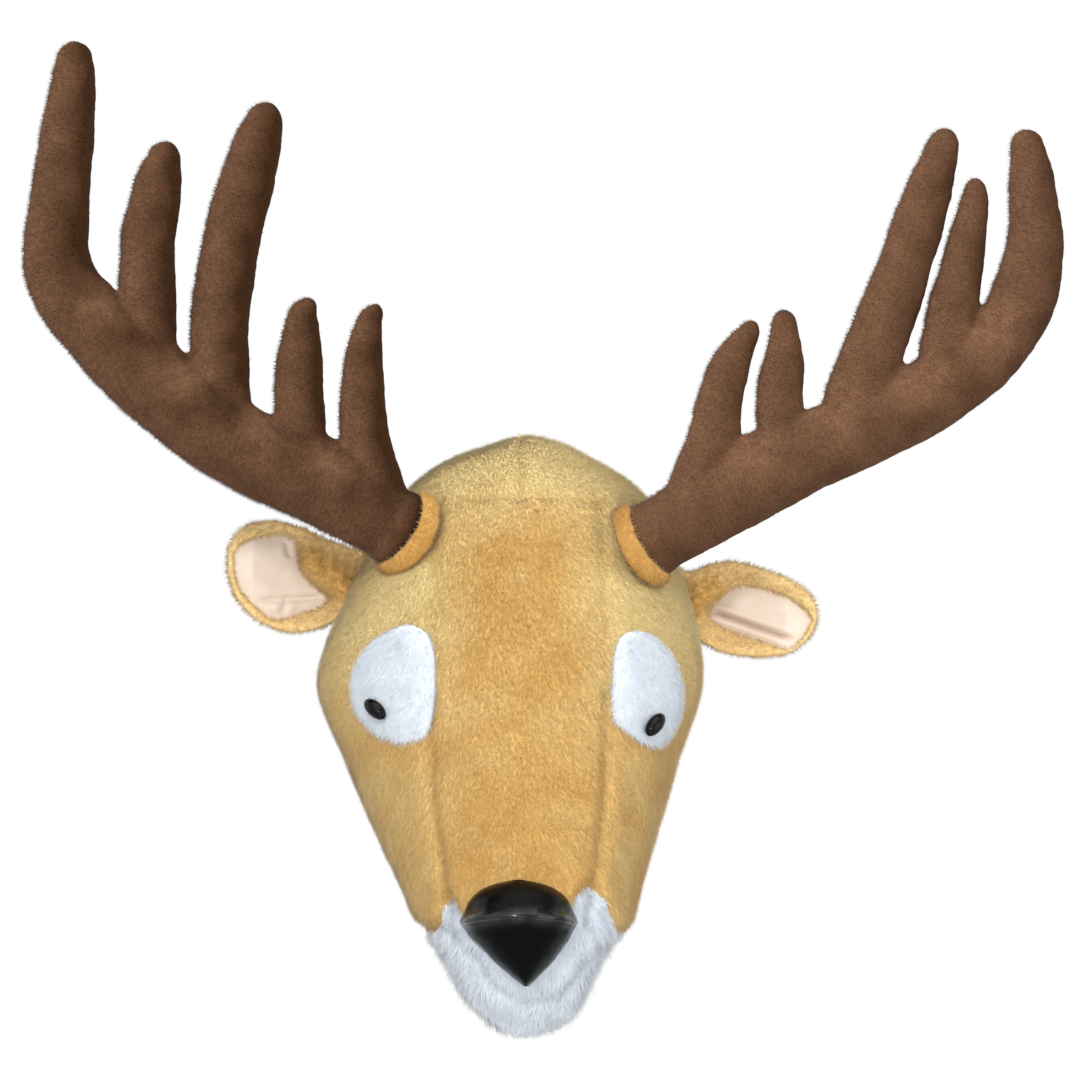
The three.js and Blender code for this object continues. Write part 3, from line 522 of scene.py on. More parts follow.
class Finish(Enum):
    """The finishes of this object."""

    # The tan's second colour, paler and cooler, paints light and nap sheen on the head's sides and crown.
    TAN = PileFinish("tan_pile", (228, 186, 115), (212, 164, 93), worn=(243, 217, 154))
    COLLAR = PileFinish("collar_pile", (225, 177, 103), (194, 143, 76))
    EAR = PileFinish("ear_pile", (252, 223, 161), (244, 201, 136), painted_shade_root_share=1.0, worn=(226, 178, 104))
    WHITE = PileFinish("white_pile", (241, 248, 255), (233, 243, 255), painted_shade_root_share=1.0, patch=60.0, sheen=0.9)
    # The velour's second, paler colour marks the patches below the gaps and paints light on the left sides of the
    # limbs.
    VELOUR = PileFinish(
        "brown_velour", (70, 43, 22), (46, 27, 10), painted_shade_root_share=0.8, patch=70.0, speckle=0.75, worn=(134, 97, 72)
    )
    NOSE = LeatherFinish()
    LINING = PlainFinish(
        "ear_lining_velour", (236, 221, 206), (227, 208, 191), 0.9, sheen=0.3, specular=0.1, relief=0.0001
    )
    BEAD = PlainFinish("bead_gloss", (8, 8, 8), (4, 4, 4), 0.06, relief=0.0, specular=0.16)
    BACKING = PlainFinish("backing_felt", (192, 157, 105), (170, 136, 86), 0.95, grain=1500.0, relief=0.0004)
    BOARD = PlainFinish("fibre_board", (176, 145, 103), (150, 119, 80), 0.85, grain=1200.0)
    STEEL = PlainFinish(
        "hanger_steel", (190, 193, 197), (165, 168, 172), 0.32, metallic=1.0, specular=0.5, relief=0.00002
    )
    THREAD = PlainFinish("tan_thread", (226, 190, 132), (204, 166, 108), 0.7, grain=3000.0)
    WASHER = PlainFinish("washer_plastic", (222, 222, 218), (210, 210, 206), 0.5)


def mesh_object(name: str, points: np.ndarray, faces: Sequence[Sequence[int]]) -> bpy.types.Object:
    """Makes a smooth shaded mesh object.

    Args:
        name: The object's name.
        points: Corners in millimetres.
        faces: Corner numbers of each face.

    Returns:
        The object, linked to the scene.
    """
    mesh = bpy.data.meshes.new(name)
    mesh.from_pydata((np.asarray(points) * MM).tolist(), [], [list(map(int, face)) for face in faces])
    mesh.validate()
    mesh.shade_smooth()
    made = bpy.data.objects.new(name, mesh)
    bpy.context.scene.collection.objects.link(made)
    return made


def set_bake_map(made: bpy.types.Object, corners: np.ndarray) -> None:
    """Gives a mesh a flat map from one pair of values for each of its points.

    Args:
        made: The mesh object.
        corners: One row of two values for each point.
    """
    mesh = made.data
    corners = np.asarray(corners, float)
    low, high = corners.min(axis=0), corners.max(axis=0)
    flat = (corners - low) / np.maximum(high - low, 1e-9) * (0.46, 0.98) + 0.01
    index = np.empty(len(mesh.loops), int)
    mesh.loops.foreach_get("vertex_index", index)
    layer = mesh.uv_layers.new(name="OFBake")
    layer.data.foreach_set("uv", flat[index].astype(np.float32).ravel())


def set_vectors(made: bpy.types.Object, name: str, values: np.ndarray) -> None:
    """Keeps one direction for each point of a mesh."""
    kept = made.data.attributes.new(name, "FLOAT_VECTOR", "POINT")
    kept.data.foreach_set("vector", values.astype(np.float32).ravel())


def set_values(made: bpy.types.Object, name: str, values: np.ndarray) -> None:
    """Keeps one value for each point of a mesh."""
    kept = made.data.attributes.new(name, "FLOAT", "POINT")
    kept.data.foreach_set("value", values.astype(np.float32).ravel())


@dataclass
class Pile:
    """Hairs set over a skin by one node tree, as fine three-sided spikes that lean with the nap.

    Attributes:
        length: Length of a hair in millimetres.
        radius: Half width of a hair at its root in millimetres.
        density: Hairs in a square millimetre.
        lean: How far the hairs lean along the nap.
        wander: How far whole tufts lean aside.
        tuft: Size of one tuft in millimetres.
        stray: How far single hairs lean aside.
        tone_low: Tone of the darkest single hairs.
        tuft_tone: How much darker whole tufts can be.
        softness: Share of the cloth's normal in that of a hair.
    """

    length: float
    radius: float
    density: float
    lean: float = 0.6
    wander: float = 0.5
    tuft: float = 7.0
    stray: float = 0.35
    tone_low: float = 0.86
    tuft_tone: float = 0.14
    softness: float = 0.75

    @staticmethod
    def tree() -> bpy.types.NodeTree:
        """Builds the node tree once.

        Returns:
            The geometry node tree.
        """
        found = bpy.data.node_groups.get("pile_hairs")
        if found:
            return found
        tree = bpy.data.node_groups.new("pile_hairs", "GeometryNodeTree")
        open_sockets(tree, (
            ("Geometry", "Geometry", None), ("Density", "Float", 1e6), ("Length", "Float", 0.003),
            ("Radius", "Float", 0.0002), ("Lean", "Float", 0.6), ("Wander", "Float", 0.5),
            ("Tuft Scale", "Float", 140.0), ("Stray", "Float", 0.35), ("Cells", "Float", 100.0),
            ("Tone Low", "Float", 0.86), ("Tuft Tone", "Float", 0.12), ("Seed", "Int", 3),
            ("Finish", "Material", None),
        ))
        open_sockets(tree, (("Geometry", "Geometry", None),), "OUTPUT")

        def add(kind: str, feeds: dict[str | int, object] | None = None, **settings: object) -> bpy.types.Node:
            """Adds one node."""
            return node(tree, kind, feeds, **settings)

        def calc(operation: str, a: object, b: object) -> bpy.types.NodeSocket:
            """Adds a plain calculation of two sockets or numbers."""
            return add("ShaderNodeMath", {0: a, 1: b}, operation=operation).outputs[0]

        def vector(operation: str, feeds: dict[str | int, object]) -> bpy.types.NodeSocket:
            """Adds a calculation with vectors."""
            return add("ShaderNodeVectorMath", feeds, operation=operation).outputs["Vector"]

        def named(name: str, kind: str = "FLOAT") -> bpy.types.NodeSocket:
            """Reads a named attribute."""
            return add("GeometryNodeInputNamedAttribute", {"Name": name}, data_type=kind).outputs[0]

        def keep(
            geometry: bpy.types.NodeSocket, name: str, value: bpy.types.NodeSocket,
            kind: str = "FLOAT", domain: str = "POINT",
        ) -> bpy.types.NodeSocket:
            """Stores a named attribute and returns the geometry."""
            feeds = {"Geometry": geometry, "Name": name, "Value": value}
            made = add("GeometryNodeStoreNamedAttribute", None, data_type=kind, domain=domain)
            feed(tree, made, feeds)
            return made.outputs["Geometry"]

        entry = add("NodeGroupInput").outputs
        scatter = add("GeometryNodeDistributePointsOnFaces", {
            "Mesh": entry["Geometry"], "Density": entry["Density"], "Seed": entry["Seed"],
        }, distribute_method="RANDOM").outputs
        normal = scatter["Normal"]
        position = add("GeometryNodeInputPosition").outputs[0]
        tufts = add("ShaderNodeTexNoise", {"Vector": position, "Scale": entry["Tuft Scale"]})
        stray = add("FunctionNodeRandomValue", {"Min": (-1, -1, -1), "Max": (1, 1, 1)}, data_type="FLOAT_VECTOR")
        total = normal
        for value, amount in (
            (named("nap", "FLOAT_VECTOR"), "Lean"),
            (vector("SUBTRACT", {0: tufts.outputs["Color"], 1: (0.5, 0.5, 0.5)}), "Wander"),
            (stray.outputs["Value"], "Stray"),
        ):
            total = vector("ADD", {0: total, 1: vector("SCALE", {0: value, "Scale": entry[amount]})})
        turn = add("FunctionNodeAlignRotationToVector", {"Vector": total}, axis="Z")
        face_out = add("FunctionNodeAlignRotationToVector", {
            "Rotation": turn.outputs["Rotation"], "Vector": normal,
        }, axis="Y", pivot_axis="Z")
        spike = add("GeometryNodeMeshCone", {
            "Vertices": 3, "Radius Top": 0.0, "Radius Bottom": entry["Radius"], "Depth": entry["Length"],
        }, fill_type="NGON")
        split = add("ShaderNodeSeparateXYZ", {0: position}).outputs
        marked = keep(spike.outputs["Mesh"], "along", calc("DIVIDE", split["Z"], entry["Length"]))
        marked = keep(marked, "across", calc("DIVIDE", split["X"], entry["Radius"]))
        size = add("FunctionNodeRandomValue", data_type="FLOAT")
        feed(tree, size, {2: 0.65, 3: 1.2})
        scaled = add("ShaderNodeCombineXYZ", {"X": 1.0, "Y": 0.3, "Z": size.outputs[1]})
        set_on = add("GeometryNodeInstanceOnPoints", {
            "Points": keep(scatter["Points"], "pile_normal", normal, "FLOAT_VECTOR"), "Instance": marked,
            "Rotation": face_out.outputs["Rotation"], "Scale": scaled.outputs[0],
        })
        tone = add("FunctionNodeRandomValue", {2: entry["Tone Low"], 3: 1.0}, data_type="FLOAT")
        clump = add("ShaderNodeTexNoise", {
            "Vector": position, "Scale": calc("MULTIPLY", entry["Tuft Scale"], 2.6),
        })
        stretch = add("ShaderNodeMapRange", {
            "Value": clump.outputs["Fac"], "From Min": 0.35, "From Max": 0.62,
            "To Min": calc("SUBTRACT", 1.0, entry["Tuft Tone"]),
        })
        both = calc("MULTIPLY", tone.outputs[1], stretch.outputs["Result"])
        toned = keep(set_on.outputs["Instances"], "tuft", both, domain="INSTANCE")
        numbered = keep(toned, "hair", add("GeometryNodeInputIndex").outputs[0], domain="INSTANCE")
        real = add("GeometryNodeRealizeInstances", {"Geometry": numbered})
        cells, hair = entry["Cells"], named("hair")
        row = calc("FLOOR", calc("DIVIDE", hair, cells), 0.0)
        column = calc("SUBTRACT", hair, calc("MULTIPLY", row, cells))
        sideways = calc("ADD", calc("MULTIPLY", named("across"), 0.35), 0.5)
        upwards = calc("ADD", calc("MULTIPLY", named("along"), 0.7), 0.15)
        u = calc("DIVIDE", calc("ADD", column, sideways), cells)
        v = calc("DIVIDE", calc("ADD", row, upwards), cells)
        pair = add("ShaderNodeCombineXYZ", {
            "X": calc("ADD", calc("MULTIPLY", u, 0.48), 0.51), "Y": calc("ADD", calc("MULTIPLY", v, 0.98), 0.01),
        })
        mapped = keep(real.outputs["Geometry"], "OFBake", pair.outputs[0], "FLOAT2", "CORNER")
        dressed = add("GeometryNodeSetMaterial", {"Geometry": mapped, "Material": entry["Finish"]})
        join = add("GeometryNodeJoinGeometry")
        for part in (dressed.outputs["Geometry"], entry["Geometry"]):
            feed(tree, join, {"Geometry": part})
        add("NodeGroupOutput", {"Geometry": join.outputs["Geometry"]})
        return tree

    def grow(self, skin: bpy.types.Object, finish: PileFinish, seed: int) -> bpy.types.Object:
        """Sets the hairs over a skin and makes the result one plain mesh.

        Args:
            skin: The skin, with its nap direction kept as an attribute.
            finish: The finish of the ground and the hairs.
            seed: Seed of the scatter.

        Returns:
            The same object with its hairs.
        """
        skin.data.materials.clear()
        skin.data.materials.append(shared(finish.name + "_ground", finish.ground))
        area = sum(face.area for face in skin.data.polygons) / MM**2
        values = {
            "Density": self.density / MM**2,
            "Length": self.length * MM,
            "Radius": self.radius * MM,
            "Lean": self.lean,
            "Wander": self.wander,
            "Tuft Scale": 1 / (self.tuft * MM),
            "Stray": self.stray,
            "Tone Low": self.tone_low,
            "Tuft Tone": self.tuft_tone,
            "Cells": float(math.ceil(math.sqrt(area * self.density) * 1.05)),
            "Seed": seed,
            "Finish": shared(finish.name + "_hairs", finish.hairs),
        }
        mesh = run_tree(skin, self.tree(), values, True)
        old, skin.data = skin.data, mesh
        bpy.data.meshes.remove(old)
        self.soften(mesh)
        return skin

    def soften(self, mesh: bpy.types.Mesh) -> None:
        """Turns the hairs' normals towards that of the cloth, as light that has passed through a pile looks.

        Args:
            mesh: Skin and hairs.
        """
        count = len(mesh.vertices)
        own = np.empty(count * 3, np.float32)
        mesh.vertices.foreach_get("normal", own)
        own = own.reshape(-1, 3)
        cloth = np.zeros(count * 3, np.float32)
        mesh.attributes["pile_normal"].data.foreach_get("vector", cloth)
        cloth = cloth.reshape(-1, 3)
        hairs = np.linalg.norm(cloth, axis=1) > 0.5
        own[hairs] = unit(cloth[hairs] * self.softness + own[hairs] * (1 - self.softness))
        mesh.normals_split_custom_set_from_vertices(own.tolist())
        for name in ("pile_normal", "across", "hair", "nap"):
            if name in mesh.attributes:
                mesh.attributes.remove(mesh.attributes[name])


_SHARED: dict[str, bpy.types.Material] = {}


def shared(name: str, make: object) -> bpy.types.Material:
    """Keeps one material for each name.

    Args:
        name: The key.
        make: The function that makes the material.

    Returns:
        The material.
    """
    if name not in _SHARED:
        _SHARED[name] = make()
    return _SHARED[name]


@dataclass
class HeadForm:
    """The head's swelling form, from its height, half widths and depths at sixteen stations."""

    height: float = 302.0
    half_width: float = 95.0
    depth: float = 252.0
    chin_drop: float = 198.5
    squareness: float = 2.2
    stations: tuple[tuple[float, ...], ...] = (
        (0, 0, 0, 0.853, 0.853, 0.853),
        (0.007, 0.09, 0.15, 0.893, 0.853, 0.817),
        (0.028, 0.19, 0.28, 0.93, 0.857, 0.793),
        (0.068, 0.32, 0.38, 0.972, 0.845, 0.746),
        (0.127, 0.415, 0.46, 1, 0.821, 0.659),
        (0.194, 0.53, 0.6, 0.996, 0.754, 0.54),
        (0.267, 0.65, 0.66, 0.964, 0.667, 0.389),
        (0.353, 0.775, 0.745, 0.9, 0.567, 0.175),
        (0.459, 0.92, 0.84, 0.817, 0.476, -0.04),
        (0.591, 1.06, 0.97, 0.718, 0.381, -0.13),
        (0.723, 0.92, 0.905, 0.615, 0.317, -0.13),
        (0.823, 0.74, 0.79, 0.536, 0.286, -0.095),
        (0.902, 0.61, 0.655, 0.464, 0.262, -0.015),
        (0.955, 0.395, 0.41, 0.397, 0.258, 0.087),
        (0.988, 0.1, 0.2, 0.325, 0.262, 0.198),
        (1, 0, 0, 0.266, 0.266, 0.266),
    )
    dense: int = 4000

    def __post_init__(self) -> None:
        """Works out the dense table of sections."""
        self.table = self.sections(np.linspace(0, 1, self.dense))

    def sections(self, share: np.ndarray) -> np.ndarray:
        """Gives height, left, right, front, middle and back in millimetres.

        Args:
            share: Places along the form, from the chin to the crown.

        Returns:
            One row of six values for each share.
        """
        rows = spline(np.array(self.stations), share)
        rows[:, 0] = rows[:, 0] * self.height - self.chin_drop
        rows[:, 1:3] = np.maximum(rows[:, 1:3], 0) * self.half_width
        rows[:, 3:] *= -self.depth
        return rows

    def place(self, shares: Iterable[Sequence[float]]) -> np.ndarray:
        """Turns shares of half width and height into x and z."""
        across, up = np.array(list(shares), float).T
        return np.column_stack([across * self.half_width, up * self.height - self.chin_drop])

    def at(self, z: np.ndarray) -> np.ndarray:
        """Gives the sections at heights z, one row each."""
        return np.column_stack([np.interp(z, self.table[:, 0], self.table[:, k]) for k in range(6)])

    def depth_at(self, x: np.ndarray, z: np.ndarray, behind: bool = False) -> np.ndarray:
        """Gives the depth of the surface under a place in the front view.

        Args:
            x: Places across.
            z: Heights.
            behind: True for the rear of the form.

        Returns:
            One depth for each place.
        """
        rows = self.at(np.atleast_1d(z))
        wide = np.where(np.atleast_1d(x) > 0, rows[:, 2], rows[:, 1])
        across = np.clip(np.abs(x) / np.maximum(wide, 1e-6), 0, 1)
        far = rows[:, 5] if behind else rows[:, 3]
        return rows[:, 4] + (far - rows[:, 4]) * (1 - across**self.squareness) ** (1 / self.squareness)



@dataclass
class HeadSkins:
    """The sewn skins of the head: one fine grid over the form, cut into panels along the seams."""

    form: HeadForm
    rows: int = 190
    around: int = 272
    throat_half: float = 30.0
    cross_seam: tuple = ((-2, 0.86), (-0.7, 0.875), (-0.4, 0.893), (0, 0.899), (0.4, 0.893), (0.7, 0.875), (2, 0.86))
    gusset: tuple = ((0.43, 0.92), (0.47, 0.66), (0.47, 0.52), (0.46, 0.4), (0.43, 0.33), (0.38, 0.2))
    muzzle: tuple = (
        (-2, 0.16), (-0.47, 0.18), (-0.425, 0.205), (-0.41, 0.225), (-0.384, 0.242), (-0.337, 0.2268),
        (-0.295, 0.202), (0.279, 0.2185), (0.31, 0.243), (0.353, 0.258), (0.41, 0.262), (0.468, 0.235),
        (0.5, 0.212), (0.515, 0.195), (0.54, 0.18), (2, 0.16),
    )
    mouth: tuple = (
        (-2, 0.2), (-0.42, 0.19), (-0.284, 0.15), (-0.134, 0.087), (0.017, 0.063), (0.242, 0.071),
        (0.368, 0.118), (0.5, 0.16), (2, 0.2),
    )
    gusset_depth: float = 2.1
    tan_inset: float = 2.0
    white_inset: float = 5.2
    rear_seam: float = 0.2

    def gusset_half(self, z: np.ndarray) -> np.ndarray:
        """Gives the half width of the forehead panel at heights z."""
        line = self.form.place(self.gusset)[::-1]
        return np.interp(z, line[:, 1], line[:, 0])

    def line_height(self, shares: tuple, x: np.ndarray) -> np.ndarray:
        """Gives the height of a crossing seam at places x."""
        line = self.form.place(shares)
        return np.interp(x, line[:, 0], line[:, 1])

    def grid(self) -> tuple[np.ndarray, np.ndarray]:
        """Lays the fine grid over the form.

        Returns:
            Points as rows by columns by three, and the share of each row.
        """
        table = self.form.table
        steps = np.abs(np.diff(table[:, [0, 1, 2, 3, 5]], axis=0)).max(axis=1)
        run = np.concatenate([[0], np.cumsum(steps)])
        share = np.interp(np.linspace(0, run[-1], self.rows + 1), run, np.linspace(0, 1, len(table)))
        rows = self.form.sections(share)
        angle = round_turn(self.around)
        power = 2 / self.form.squareness
        across = np.abs(np.cos(angle)) ** power
        along = np.abs(np.sin(angle)) ** power
        wide = np.where(np.cos(angle)[None, :] > 0, rows[:, 2:3], -rows[:, 1:2])
        far = np.where(np.sin(angle)[None, :] > 0, rows[:, 5:6], rows[:, 3:4])
        x = across[None, :] * wide
        y = rows[:, 4:5] + along[None, :] * (far - rows[:, 4:5])
        z = np.repeat(rows[:, 0:1], self.around, axis=1)
        return np.stack([x, y, z], axis=2), share

    def normals(self, points: np.ndarray) -> np.ndarray:
        """Gives the outward normal at each grid point."""
        up = np.gradient(points, axis=0)
        round_ = np.roll(points, -1, axis=1) - np.roll(points, 1, axis=1)
        normal = unit(np.cross(round_, up))
        out = points - points.mean(axis=1, keepdims=True)
        flip = np.sign((normal * out).sum(axis=2).sum(axis=1, keepdims=True))
        return normal * flip[:, :, None]

    def seam_points(self) -> list[tuple[np.ndarray, float, float]]:
        """Lists the seams as points on the form, each with its depth and half width in millimetres."""
        seams = []
        x = np.linspace(-100, 100, 801)
        high, low = np.linspace(-24, 72, 420), np.linspace(-135, -24, 480)
        for shares, depth, wide in ((self.cross_seam, 1.3, 2.6), (self.muzzle, 0.8, 2.6), (self.mouth, 2.2, 3.4)):
            z = self.line_height(shares, x)
            rows = self.form.at(z)
            inside = np.abs(x) < np.where(x > 0, rows[:, 2], rows[:, 1])
            near = np.column_stack([x, self.form.depth_at(x, z), z])[inside]
            far = np.column_stack([x, self.form.depth_at(x, z, True), z])[inside]
            seams.append((np.vstack([near, far]), depth, wide))
        for z, share in ((high, 0.35), (low, 1.0)):
            for side in (-1, 1):
                x = side * self.gusset_half(z)
                line = np.column_stack([x, self.form.depth_at(x, z), z])
                seams.append((line, self.gusset_depth * share, 3.6))
        z = np.linspace(70, 103, 160)
        seams.append((np.column_stack([z * 0, self.form.depth_at(z * 0, z), z]), 1.2, 2.6))
        return seams

    def build(self) -> dict[str, bpy.types.Object]:
        """Builds every panel.

        Returns:
            The panels by the name of the part they stand for.
        """
        points, share = self.grid()
        normal = self.normals(points)
        flat = points.reshape(-1, 3)
        out = normal.reshape(-1, 3)
        lift = rough(flat, 34.0, 3.0) + rough(flat, 13.0, 8.0) * 0.35
        for line, depth, wide in self.seam_points():
            tree = search_tree(line)
            away = np.array([tree.find(Vector(point))[2] for point in flat])
            lift += depth * (0.25 * np.exp(-((away - 2.6 * wide) / (1.6 * wide)) ** 2) - np.exp(-((away / wide) ** 2)))
        below = np.clip((self.line_height(self.muzzle, flat[:, 0]) - flat[:, 2]) / 14 + 0.5, 0, 1)
        lift -= self.tan_inset + (self.white_inset - self.tan_inset) * below
        lift += below * rough(flat, 8.0, 31.0) * 1.1
        moved = flat + out * lift[:, None]
        behind = moved[:, 1] - WALL_SKIN
        moved[:, 1] = np.minimum(moved[:, 1], WALL_SKIN)
        moved[:, 2] = np.maximum(moved[:, 2], self.white_inset + 1.6 - self.form.chin_drop)
        shape = points.shape[:2]
        quads = ring_quads(*shape)[1]
        centre = flat[quads].mean(axis=1)
        wall = (behind[quads] > 1.2).all(axis=1)
        quads, centre = quads[~wall], centre[~wall]
        names = self.label(centre)
        nap = unit(np.array([0.0, -0.1, -1.0]) - out * (out @ np.array([0.0, -0.1, -1.0]))[:, None])
        turn = np.arange(shape[1]) / shape[1]
        flat_map = np.column_stack([np.tile(turn, shape[0]), np.repeat(share, shape[1])])
        made = {}
        for name in sorted(set(names)):
            chosen = quads[names == name]
            used, index = np.unique(chosen, return_inverse=True)
            faces = index.reshape(-1, 4)
            faces = faces[:, ::-1] if self.faces_in(moved[used], faces, out[used]) else faces
            panel = mesh_object(name + "_pile", moved[used], self.plain(faces))
            set_bake_map(panel, self.spread(flat_map[used]))
            set_vectors(panel, "nap", nap[used])
            # The paler share paints light and nap sheen on the sides and the crown.
            set_values(panel, "worn", self.pale_share(flat[used]))
            made[name] = panel
        return made

    @staticmethod
    def pale_share(points: np.ndarray) -> np.ndarray:
        """Gives the share of the paler, cooler tone, which paints light and nap sheen: none on the forehead, more at
        the sides and the crown.
        """
        side = np.clip((np.abs(points[:, 0]) - 18) / 34, 0, 1) * (0.35 + 0.65 * np.clip((points[:, 2] + 50) / 60, 0, 1))
        top = np.clip((points[:, 2] - 48) / 34, 0, 1)
        return np.clip(np.maximum(side, top) + rough(points, 22.0, 12.0) * 0.35, 0, 1)

    @staticmethod
    def spread(pairs: np.ndarray) -> np.ndarray:
        """Moves a panel's map off the place where the turn starts again at 0."""
        turn = pairs[:, 0].copy()
        if turn.max() - turn.min() > 0.9:
            turn[turn < 0.5] += 1
        return np.column_stack([turn, pairs[:, 1]])

    @staticmethod
    def plain(faces: np.ndarray) -> list[list[int]]:
        """Drops corners that fall together at the two ends of the form."""
        return [list(dict.fromkeys(face)) for face in faces.tolist()]

    @staticmethod
    def faces_in(points: np.ndarray, faces: np.ndarray, out: np.ndarray) -> bool:
        """Tells whether the faces look into the head."""
        a, b, d = points[faces[:, 0]], points[faces[:, 1]], points[faces[:, 3]]
        return float((np.cross(b - a, d - a) * out[faces[:, 0]]).sum()) < 0

    def label(self, centre: np.ndarray) -> np.ndarray:
        """Names the panel that holds each face.

        Args:
            centre: Middle of each face.

        Returns:
            One name for each face.
        """
        x, y, z = centre.T
        middle = self.form.at(z)[:, 4]
        side = np.where(x < 0, "left", "right")
        crown = z > self.line_height(self.cross_seam, x)
        line = self.line_height(self.muzzle, x)
        rear = self.rear_seam * self.form.height - self.form.chin_drop
        low = z < np.where(y > middle, np.minimum(line, rear), line)
        chin = z < self.line_height(self.mouth, x)
        forehead = (np.abs(x) < self.gusset_half(z)) & (y < middle)
        throat = (np.abs(x) < self.throat_half) & (y > middle) & (z < 0)
        names = np.char.add("cheek_panel_", side).astype("U24")
        names[forehead] = "forehead_panel"
        names[throat] = "throat_panel"
        names[low] = np.char.add("muzzle_panel_", side[low])
        names[low & chin] = "chin_panel"
        names[crown] = np.char.add("crown_panel_", side[crown])
        return names


